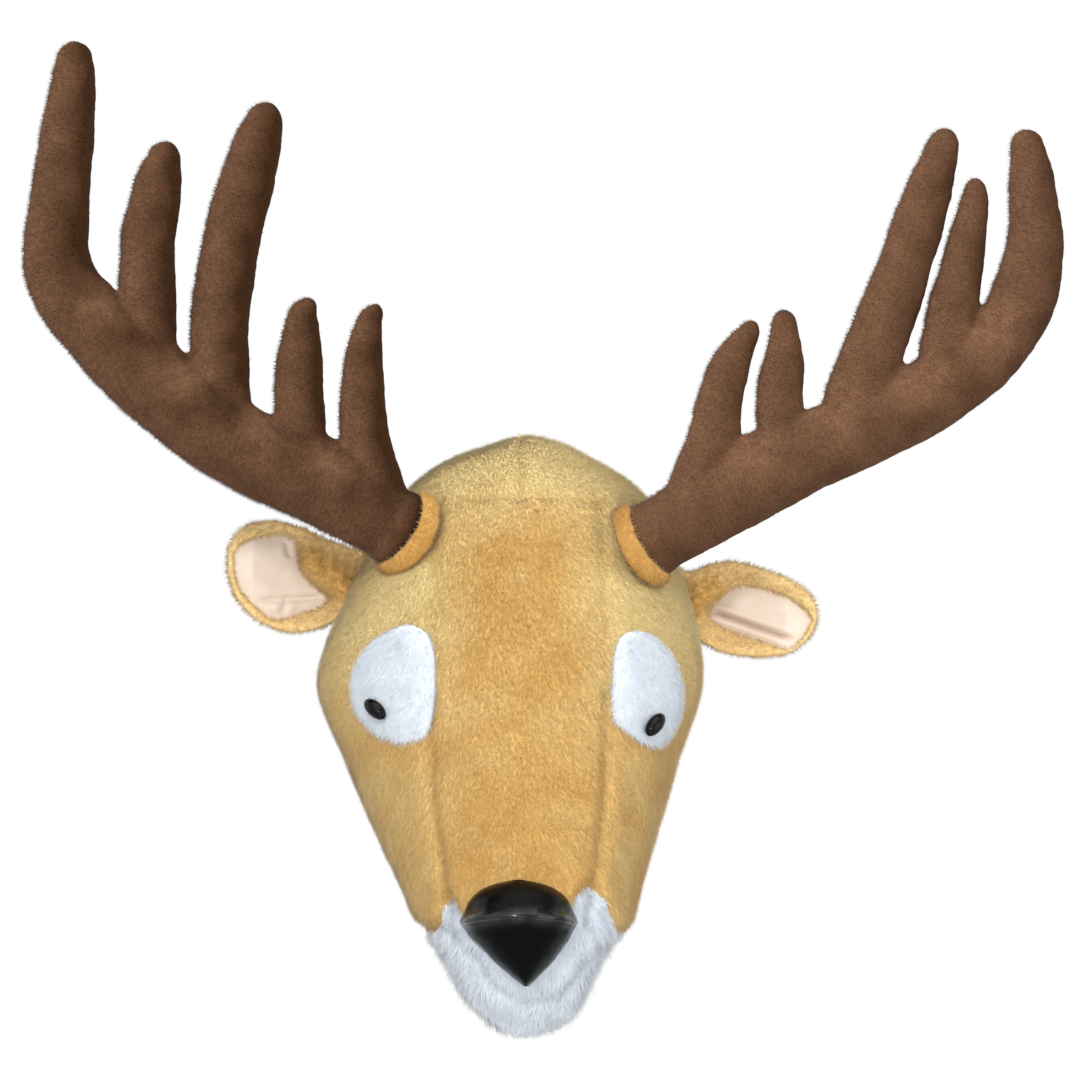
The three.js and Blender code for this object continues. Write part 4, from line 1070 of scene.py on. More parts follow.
@dataclass
class Antler:
    """A velour antler: stuffed limbs grown together, sewn along the edge, with puckers below its gaps."""

    name: str
    lean: float
    beam: tuple[tuple[float, float, float], ...]
    tines: tuple[tuple[tuple[float, float, float], ...], ...]
    size: float = 200.0
    roundness: float = 0.82
    sides: int = 26
    voxel: float = 1.25
    inset: float = 1.1
    pale_share: float = 0.3
    # Strength of the painted light: limbs paler on their left side and darker on their right.
    painted_side_light: float = 0.62

    def limb(self, shares: Sequence[Sequence[float]]) -> tuple[list[np.ndarray], np.ndarray]:
        """Makes one limb as rings in the antler's own plane.

        Args:
            shares: Outward place, height and half width at each station.

        Returns:
            The rings, and the middle line with its half widths.
        """
        reach = np.linspace(0, 1, 40)
        line = spline(np.array(shares) * self.size, reach)
        ahead = unit(np.gradient(line[:, :2], axis=0))
        angle = round_turn(self.sides)
        rings = []

        def ring(centre: np.ndarray, way: np.ndarray, half: float) -> np.ndarray:
            """Makes one oval ring."""
            half = half - self.inset
            across = np.cos(angle) * half
            return np.column_stack(
                [centre[0] - way[1] * across, np.sin(angle) * half * self.roundness, centre[1] + way[0] * across]
            )

        for row, way in zip(line, ahead):
            rings.append(ring(row[:2], way, row[2]))
        for degrees in (25, 48, 68, 82):
            turn = math.radians(degrees)
            tip = line[-1, :2] + ahead[-1] * line[-1, 2] * math.sin(turn)
            rings.append(ring(tip, ahead[-1], line[-1, 2] * math.cos(turn)))
        return rings, line

    def raw(self) -> tuple[np.ndarray, list[list[int]]]:
        """Joins the limbs and the oval root into one set of closed bodies."""
        points, faces = [], []
        for shares in (self.beam, *self.tines):
            rings, _ = self.limb(shares)
            start = sum(len(p) for p in points)
            points.extend(rings)
            count = self.sides
            for row in range(len(rings) - 1):
                for column in range(count):
                    a = start + row * count + column
                    b = start + row * count + (column + 1) % count
                    faces.append([a, b, b + count, a + count])
            faces.append([start + k for k in reversed(range(count))])
            faces.append([start + (len(rings) - 1) * count + k for k in range(count)])
        root = self.egg(points)
        return np.vstack(points), faces + root

    def egg(self, points: list[np.ndarray]) -> list[list[int]]:
        """Adds the oval root to the points and returns its faces."""
        start = sum(len(p) for p in points)
        half = self.beam[0][2] * self.size
        ahead = self.ahead()
        rows, around = 16, 32
        for row in range(rows + 1):
            high = math.cos(math.pi * row / rows) * half
            wide = max(math.sin(math.pi * row / rows), 0.02) * half * self.roundness
            angle = round_turn(around)
            out, thick = np.cos(angle) * wide, np.sin(angle) * wide
            points.append(np.column_stack([ahead[0] * out - ahead[1] * high, thick, ahead[1] * out + ahead[0] * high]))
        faces = [
            [
                start + r * around + c, start + r * around + (c + 1) % around,
                start + (r + 1) * around + (c + 1) % around, start + (r + 1) * around + c,
            ]
            for r in range(rows)
            for c in range(around)
        ]
        faces.append([start + c for c in reversed(range(around))])
        faces.append([start + rows * around + c for c in range(around)])
        return faces

    def ahead(self) -> np.ndarray:
        """Gives the way in which the beam leaves the root, in the antler's plane."""
        first, second = np.array(self.beam[0][:2]), np.array(self.beam[1][:2])
        return (second - first) / np.linalg.norm(second - first)

    def frame(self, pivot: Vector) -> Matrix:
        """Gives the antler's own frame, with its root at the hinge."""
        side = SIDES[self.name]
        turn = Matrix.Rotation(math.radians(side * self.lean), 4, "Z")
        return Matrix.Translation(pivot) @ turn @ Matrix.Diagonal((side, 1, 1, 1))

    def gaps(self) -> np.ndarray:
        """Finds the places between limbs, just below each gap, in the antler's plane."""
        picks = [shares[1] for shares in self.tines] + [self.beam[-4]]
        bases = sorted((np.array(pick[:2]) for pick in picks), key=lambda base: base[0])
        line = self.limb(self.beam)[1]
        found = []
        for first, second in zip(bases, bases[1:]):
            middle = (first + second) / 2 * self.size
            near = line[np.argmin(np.abs(line[:, 0] - middle[0]))]
            found.append([middle[0], near[1] + near[2] * 0.75])
        return np.array(found)

    def build(self, pivot: Vector) -> dict[str, bpy.types.Object]:
        """Builds the front and the back panel.

        Args:
            pivot: A point on the hinge line, in millimetres.

        Returns:
            The panels by their place.
        """
        points, faces = self.raw()
        rough_body = mesh_object("antler_" + self.name, points, faces)
        remesh = rough_body.modifiers.new("merge", "REMESH")
        remesh.mode = "VOXEL"
        remesh.voxel_size = self.voxel * MM
        relax = rough_body.modifiers.new("relax", "SMOOTH")
        relax.factor, relax.iterations = 0.5, 7
        settled = bpy.context.evaluated_depsgraph_get()
        mesh = bpy.data.meshes.new_from_object(rough_body.evaluated_get(settled))
        count = len(mesh.vertices)
        place = np.empty(count * 3)
        normal = np.empty(count * 3)
        mesh.vertices.foreach_get("co", place)
        mesh.vertices.foreach_get("normal", normal)
        place, normal = place.reshape(-1, 3) / MM, normal.reshape(-1, 3)
        quads = [list(face.vertices) for face in mesh.polygons]
        bpy.data.objects.remove(rough_body)
        bpy.data.meshes.remove(mesh)
        worn = np.zeros(count)
        lift = rough(place, 16.0, 5.0) * 0.8 + rough(place, 6.0, 11.0) * 0.35
        lift -= 1.3 * np.exp(-((place[:, 1] / 1.3) ** 2)) * (np.abs(normal[:, 1]) < 0.75)
        lift += rough(place * [0.35, 0.5, 1.0], 2.6, 17.0) * 0.22
        for number, gap in enumerate(self.gaps()):
            away = place[:, [0, 2]] - gap
            far = np.linalg.norm(away, axis=1)
            turn = np.arctan2(away[:, 1], away[:, 0])
            dent = np.exp(-((far / 9.0) ** 2))
            fold = np.cos(turn * 5 + number * 2.1) * np.exp(-((far - 9.0) / 6.0) ** 2)
            lift -= (2.9 * dent + 0.9 * fold) * np.clip(np.abs(normal[:, 1]) * 1.5, 0, 1)
            # Paler patches below each gap.
            smear = far * (1 + 0.35 * rough(place, 9.0, 21.0 + number))
            worn = np.maximum(worn, np.exp(-((smear / 13.0) ** 2)))
        side = SIDES[self.name]
        # Painted light: each limb paler on its left side and darker on its right, as light from the left falls; the
        # paler patches below the gaps, the base share and some noise come on top.
        worn = self.pale_share + worn * 0.55 + rough(place, 13.0, 2.0) * 0.16 - self.painted_side_light * normal[:, 0] * side
        place = place + normal * lift[:, None]
        line = np.vstack([self.limb(shares)[1] for shares in (self.beam, *self.tines)])
        way = np.vstack([unit(np.gradient(self.limb(shares)[1][:, :2], axis=0)) for shares in (self.beam, *self.tines)])
        tree = search_tree((row[0], 0, row[1]) for row in line)
        nearest = np.array([tree.find(Vector((p[0], 0, p[2])))[1] for p in place])
        nap = np.column_stack([-way[nearest, 1], np.zeros(count), way[nearest, 0]])
        nap *= -np.sign(nap[:, :1] * side)
        matrix = self.frame(pivot)
        turn = np.array(matrix.to_3x3())
        world = place @ turn.T + np.array(matrix.translation)
        nap = nap @ turn.T
        quads = np.array([q if len(q) == 4 else q + [q[-1]] for q in quads])
        if SIDES[self.name] < 0:
            quads = quads[:, ::-1]
        front = place[quads][:, :, 1].mean(axis=1) < 0
        made = {}
        for key, chosen in (("front", quads[front]), ("back", quads[~front])):
            used, index = np.unique(chosen, return_inverse=True)
            cloth = mesh_object(
                f"antler_{self.name}_{key}_velour", world[used], HeadSkins.plain(index.reshape(-1, 4))
            )
            set_bake_map(cloth, place[used][:, [0, 2]])
            set_vectors(cloth, "nap", nap[used])
            set_values(cloth, "worn", np.clip(worn[used], 0, 1))
            made[key] = cloth
        return made


@dataclass
class Collar:
    """The soft tan cuff sewn round an antler's root, bowed towards the head in front."""

    antler: Antler
    roll: float = 3.9
    flatness: float = 0.6
    margin: float = 0.7
    setback: float = 5.8
    bow: float = 6.8

    def build(self, pivot: Vector) -> bpy.types.Object:
        """Builds the roll as a ring round the root.

        Args:
            pivot: A point on the antler's hinge line, in millimetres.

        Returns:
            The roll.
        """
        around, sides = 120, 22
        half = self.antler.beam[0][2] * self.antler.size
        tall, thick = half + self.margin, half * self.antler.roundness + self.margin
        ahead = self.antler.ahead()
        turn = round_turn(around)
        tube = round_turn(sides)
        points = []
        for number, angle in enumerate(turn):
            out = np.array([math.cos(angle) / tall, math.sin(angle) / thick])
            out /= np.linalg.norm(out)
            centre = np.array([math.cos(angle) * tall, math.sin(angle) * thick])
            size = self.roll * (1 + 0.05 * math.sin(3 * angle + 1) + 0.03 * math.sin(11 * angle))
            bow = self.bow * max(-math.sin(angle), 0.0) ** 1.5
            for small in tube:
                spot = centre + out * math.cos(small) * size * self.flatness
                back = math.sin(small) * size * 1.25 - self.setback - bow
                points.append([ahead[0] * back - ahead[1] * spot[0], spot[1], ahead[1] * back + ahead[0] * spot[0]])
        faces = []
        for row in range(around):
            for column in range(sides):
                a, b = row * sides + column, row * sides + (column + 1) % sides
                c, d = ((row + 1) % around) * sides + (column + 1) % sides, ((row + 1) % around) * sides + column
                faces.append([a, b, c, d])
        matrix = self.antler.frame(pivot)
        world = np.array(points) @ np.array(matrix.to_3x3()).T + np.array(matrix.translation)
        if SIDES[self.antler.name] > 0:
            faces = [face[::-1] for face in faces]
        name = self.antler.name
        roll = mesh_object(f"antler_collar_{name}_pile", world, faces)
        outward(roll)
        flat_map = [[row / around, column / sides] for row in range(around) for column in range(sides)]
        set_bake_map(roll, np.array(flat_map))
        way = np.array(matrix.to_3x3() @ Vector((-ahead[0], 0, -ahead[1])))
        set_vectors(roll, "nap", np.tile(way, (len(points), 1)))
        return roll


def outward(made: bpy.types.Object) -> None:
    """Turns the faces of a closed mesh to look out."""
    mesh = made.data
    mesh.calc_loop_triangles()
    corners = ([mesh.vertices[place].co for place in face.vertices] for face in mesh.loop_triangles)
    volume = sum(a.dot(b.cross(c)) for a, b, c in corners)
    if volume < 0:
        mesh.flip_normals()


@dataclass
class Ear:
    """A floppy ear: a pile back that rolls over the rim, a curly fold at its root and a velour lining.

    Attributes:
        name: The viewer's side.
        top: Upper edge from the root to the tip, as shares of the length.
        bottom: Lower edge.
        lining: Outline of the bare lining in millimetres.
        folds: Creases in the lining, each with its two ends, depth and half width.
        flap: Line of the curly fold, with its height and reach.
        rim: Height and width of the rolled rim.
    """

    name: str
    top: tuple[tuple[float, float], ...]
    bottom: tuple[tuple[float, float], ...]
    lining: tuple[tuple[float, float], ...]
    folds: tuple[tuple[float, ...], ...]
    flap: tuple[float, ...]
    rim: tuple[float, float] = (3.0, 5.0)
    length: float = 60.0
    thickness: float = 5.0
    cup: float = 9.0
    inset: float = 0.042
    spare: float = 1.6
    rows: int = 104
    columns: int = 92

    def __post_init__(self) -> None:
        """Lays the grid over the ear and measures it."""
        along, across = np.meshgrid(
            np.linspace(0, 1 - 1.5 * self.inset, self.rows + 1),
            np.linspace(self.inset, 1 - self.inset, self.columns + 1),
            indexing="ij",
        )
        self.along, self.across = along.ravel(), across.ravel()
        high = spline(np.array(self.top), self.along, False) * self.length
        low = spline(np.array(self.bottom), self.along, False) * self.length
        self.plane = low + (high - low) * self.across[:, None]
        reach = np.clip(self.plane[:, 0] / self.length, 0, 1)
        swell = 4 * self.across * (1 - self.across) * np.sin(np.pi * np.minimum(1, reach + 0.25))
        self.middle = self.cup * swell
        self.bare = out_of(self.plane, loop(self.lining, 90)) - self.spare
        number = np.arange(len(self.plane)).reshape(self.rows + 1, self.columns + 1)
        corners = [number[:-1, :-1], number[:-1, 1:], number[1:, 1:], number[1:, :-1]]
        self.quads = np.stack(corners, axis=2).reshape(-1, 4)
        self.border = np.concatenate([number[0], number[1:, -1], number[-1, -2::-1], number[-2:0:-1, 0]])
        self.inner = -out_of(self.plane, self.plane[self.border])

    def skin(self) -> tuple[np.ndarray, list[list[int]], np.ndarray]:
        """Makes the pile skin: a front with a hole for the lining, and a back.

        Returns:
            Points in the ear's own frame, faces and flat map.
        """
        height, wide = self.rim
        roll = np.sqrt(1 - (1 - np.clip(self.inner / 4.0, 0, 1)) ** 2)
        rise = np.sqrt(1 - (1 - np.clip(self.bare / wide, 0, 1)) ** 2)
        aside, share = from_line(self.plane, self.flap)
        beyond = np.maximum(np.abs(share - 0.5) - 0.5, 0) * 30
        bump = np.exp(-((aside**2 + beyond**2) / self.flap[5] ** 2))
        curl = rough(self.plane @ np.array([[1, 0, 0], [0, 0, 1]]), 4.2, 3.0)
        level = rise * (height + self.flap[4] * bump + curl * (0.25 + 0.24 * self.flap[4] * bump))
        front = np.column_stack([self.plane[:, 0], self.middle - (0.3 + level) * roll, self.plane[:, 1]])
        swell = 0.3 + (self.thickness + rough(front, 12.0, 4.0) * 0.7) * roll
        back = np.column_stack([self.plane[:, 0], self.middle + swell, self.plane[:, 1]])
        count = len(front)
        kept = self.quads[self.bare[self.quads].mean(axis=1) > -1.6]
        faces = kept.tolist() + (self.quads[:, ::-1] + count).tolist()
        ahead = np.roll(self.border, -1)
        faces += np.column_stack([ahead, self.border, self.border + count, ahead + count]).tolist()
        self.shade = np.concatenate([bump * roll, np.zeros(count)])
        flat = np.column_stack([self.along, self.across])
        return np.vstack([front, back]), faces, np.vstack([flat, flat + [1.05, 0]])

    def velour(self) -> tuple[np.ndarray, list[list[int]], np.ndarray]:
        """Makes the lining with its soft swell and its creases.

        Returns:
            Points in the ear's own frame, faces and flat map.
        """
        deep = np.clip(-self.bare, 0, None)
        level = 0.4 + 1.5 * (1 - np.exp(-((deep / 5.0) ** 2)))
        flat = np.column_stack([self.plane[:, 0], self.middle, self.plane[:, 1]])
        level += (rough(flat, 14.0, 9.0) * 0.8 + rough(flat, 6.0, 2.0) * 0.25) * np.clip(deep / 4, 0, 1)
        for *line, depth, wide in self.folds:
            aside, share = from_line(self.plane, line)
            ends = np.clip(np.minimum(share, 1 - share) * 5 + 0.4, 0, 1)
            level -= depth * np.exp(-((aside / wide) ** 2)) * ends
            level += depth * 0.4 * np.exp(-(((np.abs(aside) - 2.6 * wide) / (1.7 * wide)) ** 2)) * ends
        flat[:, 1] -= level
        chosen = self.quads[self.bare[self.quads].mean(axis=1) < 1.0]
        used, index = np.unique(chosen, return_inverse=True)
        return flat[used], index.reshape(-1, 4).tolist(), np.column_stack([self.along, self.across])[used]

    def build(self, pivot: Vector) -> dict[str, bpy.types.Object]:
        """Builds the pile skin and the lining.

        Args:
            pivot: The ear's root, in millimetres.

        Returns:
            The back and the lining.
        """
        matrix = Matrix.Translation(pivot) @ Matrix.Diagonal((SIDES[self.name], 1, 1, 1))
        turn, shift = np.array(matrix.to_3x3()), np.array(matrix.translation)
        made = {}
        for key, name, (points, faces, flat) in (
            ("back", f"ear_{self.name}_back_pile", self.skin()),
            ("lining", f"ear_{self.name}_lining_velour", self.velour()),
        ):
            if SIDES[self.name] > 0:
                faces = [face[::-1] for face in faces]
            made[key] = mesh_object(name, points @ turn.T + shift, faces)
            set_bake_map(made[key], flat)
        front = [face.normal.y for face in made["lining"].data.polygons]
        if sum(front) > 0:
            for piece in made.values():
                piece.data.flip_normals()
        count = len(made["back"].data.vertices)
        set_vectors(made["back"], "nap", np.tile(np.array([SIDES[self.name] * 0.9, 0, -0.2]), (count, 1)))
        set_values(made["back"], "worn", self.shade)
        made["lining"].data.materials.append(shared("ear_lining", Finish.LINING.value.material))
        return made


@dataclass
class Eye:
    """A white piled eye patch with a glossy bead.

    Attributes:
        name: The viewer's side.
        outline: Outline of the patch in the front view, in millimetres.
        bead: Place of the bead in the front view.
        tilt: Turn of the bead's long axis in degrees.
        thickness: Swell of the patch.
        halves: Half length, half width and half depth of the bead.
    """

    name: str
    outline: tuple[tuple[float, float], ...]
    bead: tuple[float, float]
    tilt: float
    thickness: float = 4.6
    halves: tuple[float, float, float] = (8.0, 3.9, 4.2)
    sunk: float = 1.6

    def on_head(self, form: HeadForm, flat: np.ndarray) -> tuple[np.ndarray, np.ndarray]:
        """Gives the points and outward normals of the head under places in the front view."""
        x, z = flat.T
        step = 1.5
        y = form.depth_at(x, z)
        dx = (form.depth_at(x + step, z) - form.depth_at(x - step, z)) / (2 * step)
        dz = (form.depth_at(x, z + step) - form.depth_at(x, z - step)) / (2 * step)
        return np.column_stack([x, y, z]), unit(np.column_stack([dx, -np.ones_like(dx), dz]))

    def build(self, form: HeadForm) -> dict[str, bpy.types.Object]:
        """Builds the patch and the bead.

        Args:
            form: The head's form, which carries the patch.

        Returns:
            The patch and the bead.
        """
        rows, around = 34, 120
        edge = loop(self.outline, around)
        centre = edge.mean(axis=0)
        share = np.sin(np.linspace(0, 1, rows + 1) * np.pi / 2)
        plane = (centre + (edge - centre)[None] * share[:, None, None]).reshape(-1, 2)
        base, normal = self.on_head(form, plane)
        deep = np.repeat(share, around)
        level = self.thickness * np.sqrt(np.clip(1 - deep**3.2, 0, 1)) - self.sunk
        level += rough(base, 13.0, 6.0) * 0.7 * (1 - deep**4)
        flat = base + normal * level[:, None]
        quads = ring_quads(rows + 1, around)[1]
        patch = mesh_object(f"eye_patch_{self.name}_pile", flat, quads.tolist())
        if sum(face.normal.y * face.area for face in patch.data.polygons) > 0:
            patch.data.flip_normals()
        angle = round_turn(around)
        flat_map = [np.outer(share, np.cos(angle)).ravel(), np.outer(share, np.sin(angle)).ravel()]
        set_bake_map(patch, np.column_stack(flat_map))
        nap = np.column_stack([normal[:, 0] * 0.2, normal[:, 1] * 0, -np.ones(len(flat))])
        set_vectors(patch, "nap", nap)
        return {"patch": patch, "bead": self.make_bead(form)}

    def make_bead(self, form: HeadForm) -> bpy.types.Object:
        """Makes the glossy bead, turned as it is sewn."""
        seat, normal = (row[0] for row in self.on_head(form, np.array([self.bead])))
        turn = math.radians(self.tilt)
        long = np.array([math.cos(turn), 0, math.sin(turn)])
        long = unit(long - normal * (long @ normal))
        short = np.cross(normal, long)
        rings, around = 29, 48
        rise, angle = np.meshgrid(np.linspace(0, np.pi, rings), round_turn(around), indexing="ij")
        local = np.stack([np.sin(rise) * np.cos(angle), np.sin(rise) * np.sin(angle), np.cos(rise)], axis=2)
        local = local.reshape(-1, 3) * self.halves
        points = seat + normal * (self.thickness - self.sunk + 2.6) + local @ np.array([long, short, normal])
        quads = ring_quads(rings, around)[1]
        bead = mesh_object(f"eye_bead_{self.name}_gloss", points, quads.tolist())
        outward(bead)
        set_bake_map(bead, np.column_stack([angle.ravel(), rise.ravel()]))
        bead.data.materials.append(shared("bead", Finish.BEAD.value.material))
        return bead


@dataclass
class Nose:
    """The leatherette nose: a domed top panel and a pointed front panel, over filling."""

    form: HeadForm
    height: float = 52.0
    half_width: float = 28.0
    stand_out: float = 22.0
    top_up: float = 80.0
    bed: float = 8.0
    crease: float = 0.42
    stations: tuple[tuple[float, float, float], ...] = (
        (0, 0.06, 0.02), (0.015, 0.26, 0.1), (0.05, 0.5, 0.28), (0.11, 0.72, 0.5), (0.2, 0.88, 0.74),
        (0.38, 1, 1), (0.46, 0.97, 0.97),
        (0.6, 0.82, 0.84), (0.78, 0.54, 0.66), (0.92, 0.24, 0.44), (1, 0.05, 0.24),
    )
    tip_shift: float = 3.6
    arch: float = 3.4

    def build(self) -> dict[str, bpy.types.Object]:
        """Builds both panels.

        Returns:
            The top and the front panel.
        """
        rows, around = 110, 120
        table = spline(np.array(self.stations), np.linspace(0, 1, 400))
        down = np.linspace(0, 1, rows + 1)
        half = np.interp(down, table[:, 0], table[:, 1])
        out = np.interp(down, table[:, 0], table[:, 2])
        z = self.top_up - self.form.chin_drop - down * self.height
        base = self.form.depth_at(z * 0, z) + self.bed
        angle = round_turn(around)
        reach = np.where(np.sin(angle)[None, :] > 0, self.bed, self.bed + self.stand_out * out[:, None])
        x = np.cos(angle)[None, :] * half[:, None] * self.half_width
        y = base[:, None] + np.sin(angle)[None, :] * reach
        points = np.stack([x, y, np.repeat(z[:, None], around, axis=1)], axis=2)
        points[:, :, 0] += (self.tip_shift * np.clip((down - self.crease) / (1 - self.crease), 0, 1))[:, None]
        bow = (1 - (points[:, :, 0] / self.half_width) ** 2) * np.exp(-(((down - self.crease) / 0.34) ** 2))[:, None]
        points[:, :, 2] += self.arch * np.clip(bow, 0, 1) * (np.sin(angle)[None, :] < 0)
        flat = points.reshape(-1, 3)
        away = np.repeat(np.abs(down - self.crease) * self.height, around)
        signed = np.repeat((down - self.crease) * self.height, around)
        groove = 0.8 * np.exp(-((away / 0.6) ** 2)) - 2.3 * np.exp(-(((signed + 2.4) / 3.2) ** 2))
        groove += 1.7 * np.sin(np.pi * np.clip(signed / 28, 0, 1))
        wrinkle = rough(flat * [0.6, 1, 1], 3.4, 7.0) * 0.28 * np.exp(-((away / 9) ** 2)) + rough(flat, 9.0, 1.0) * 0.5
        polish = np.exp(-(((signed + 1.8) / 3.6) ** 2)) * np.clip(0.75 + rough(flat, 7.0, 4.0), 0.3, 1)
        inward = unit(np.column_stack([-flat[:, 0] * 0.6, np.full(len(flat), 26.0), flat[:, 2] * 0]))
        flat = flat + inward * (groove - wrinkle)[:, None]
        number, quads = ring_quads(rows + 1, around)
        share = np.repeat((down[:-1] + down[1:]) / 2, around)
        flat_map = np.column_stack([np.tile(np.arange(around) / around, rows + 1), np.repeat(down, around)])
        made = {}
        for key, chosen in (("top", share < self.crease), ("front", share >= self.crease)):
            used, index = np.unique(quads[chosen], return_inverse=True)
            faces = index.reshape(-1, 4).tolist()
            if key == "top":
                faces.append([int(np.where(used == k)[0][0]) for k in number[0]])
            else:
                faces.append([int(np.where(used == k)[0][0]) for k in number[-1][::-1]])
            panel = mesh_object(f"nose_{key}_leatherette", flat[used], faces)
            if sum(face.normal.y * face.area for face in panel.data.polygons if face.center.y < base.min() * MM) > 0:
                panel.data.flip_normals()
            set_bake_map(panel, flat_map[used])
            set_values(panel, "ridge", polish[used])
            panel.data.materials.append(shared("nose", Finish.NOSE.value.material))
            made[key] = panel
        return made


class Stitches:
    """Thread stitches along a closed line, set by one node tree."""

    @staticmethod
    def tree() -> bpy.types.NodeTree:
        """Builds the node tree once.

        Returns:
            The geometry node tree.
        """
        found = bpy.data.node_groups.get("thread_stitches")
        if found:
            return found
        tree = bpy.data.node_groups.new("thread_stitches", "GeometryNodeTree")
        open_sockets(tree, (
            ("Geometry", "Geometry", None), ("Spacing", "Float", 0.006), ("Stitch Length", "Float", 0.004),
            ("Thread", "Float", 0.0006), ("Slant", "Float", 0.2), ("Seed", "Int", 5), ("Finish", "Material", None),
        ))
        open_sockets(tree, (("Geometry", "Geometry", None),), "OUTPUT")
        entry = node(tree, "NodeGroupInput").outputs
        curve = node(tree, "GeometryNodeMeshToCurve", {"Mesh": entry["Geometry"]}).outputs["Curve"]
        steps = node(tree, "GeometryNodeResampleCurve", {"Curve": curve, "Length": entry["Spacing"]}, mode="LENGTH")
        ball = node(tree, "GeometryNodeMeshUVSphere", {"Segments": 8, "Rings": 6, "Radius": 0.5})
        tangent = node(tree, "GeometryNodeInputTangent").outputs["Tangent"]
        vary = node(tree, "FunctionNodeRandomValue", {
            "Min": (-1, 0, -1), "Max": (1, 0, 1), "Seed": entry["Seed"],
        }, data_type="FLOAT_VECTOR")
        feeds = {0: vary.outputs["Value"], 1: entry["Slant"], 2: tangent}
        slant = node(tree, "ShaderNodeVectorMath", feeds, operation="MULTIPLY_ADD")
        along = node(tree, "FunctionNodeAlignRotationToVector", {"Vector": slant.outputs["Vector"]}, axis="X")
        size = node(tree, "ShaderNodeCombineXYZ", {
            "X": entry["Stitch Length"], "Y": entry["Thread"], "Z": entry["Thread"],
        })
        place = node(tree, "GeometryNodeInstanceOnPoints", {
            "Points": steps.outputs["Curve"], "Instance": ball.outputs["Mesh"],
            "Rotation": along.outputs["Rotation"], "Scale": size.outputs["Vector"],
        })
        real = node(tree, "GeometryNodeRealizeInstances", {"Geometry": place.outputs["Instances"]})
        dressed = node(tree, "GeometryNodeSetMaterial", {
            "Geometry": real.outputs["Geometry"], "Material": entry["Finish"],
        })
        node(tree, "NodeGroupOutput", {"Geometry": dressed.outputs["Geometry"]})
        return tree

    @classmethod
    def along(cls, line: np.ndarray, finish: PlainFinish, seed: int) -> bpy.types.Mesh:
        """Sets stitches along a closed line.

        Args:
            line: Points in millimetres.
            finish: The thread.
            seed: Seed of the slant.

        Returns:
            The stitches as a plain mesh.
        """
        mesh = bpy.data.meshes.new("stitch_line")
        ring = [(k, (k + 1) % len(line)) for k in range(len(line))]
        mesh.from_pydata((line * MM).tolist(), ring, [])
        guide = bpy.data.objects.new("stitch_line", mesh)
        bpy.context.scene.collection.objects.link(guide)
        values = {"Seed": seed, "Finish": shared(finish.name, finish.material)}
        made = run_tree(guide, cls.tree(), values, False)
        bpy.data.objects.remove(guide)
        return made


def add_meshes(base: bpy.types.Object, extras: Sequence[bpy.types.Mesh], material: bpy.types.Material) -> None:
    """Joins plain meshes into an object as its second material, with their own half of the flat map."""
    base.data.materials.append(material)
    built = bmesh.new()
    built.from_mesh(base.data)
    layer = built.loops.layers.uv["OFBake"]
    low, high = np.array(base.bound_box).min(axis=0), np.array(base.bound_box).max(axis=0)
    for extra in extras:
        first = len(built.faces)
        built.from_mesh(extra)
        built.faces.ensure_lookup_table()
        for face in built.faces[first:]:
            face.material_index = 1
            face.smooth = True
            for corner in face.loops:
                share = (np.array(corner.vert.co) - low) / (high - low)
                corner[layer].uv = (0.52 + 0.46 * share[0], 0.02 + 0.96 * share[2])
    built.to_mesh(base.data)
    built.free()


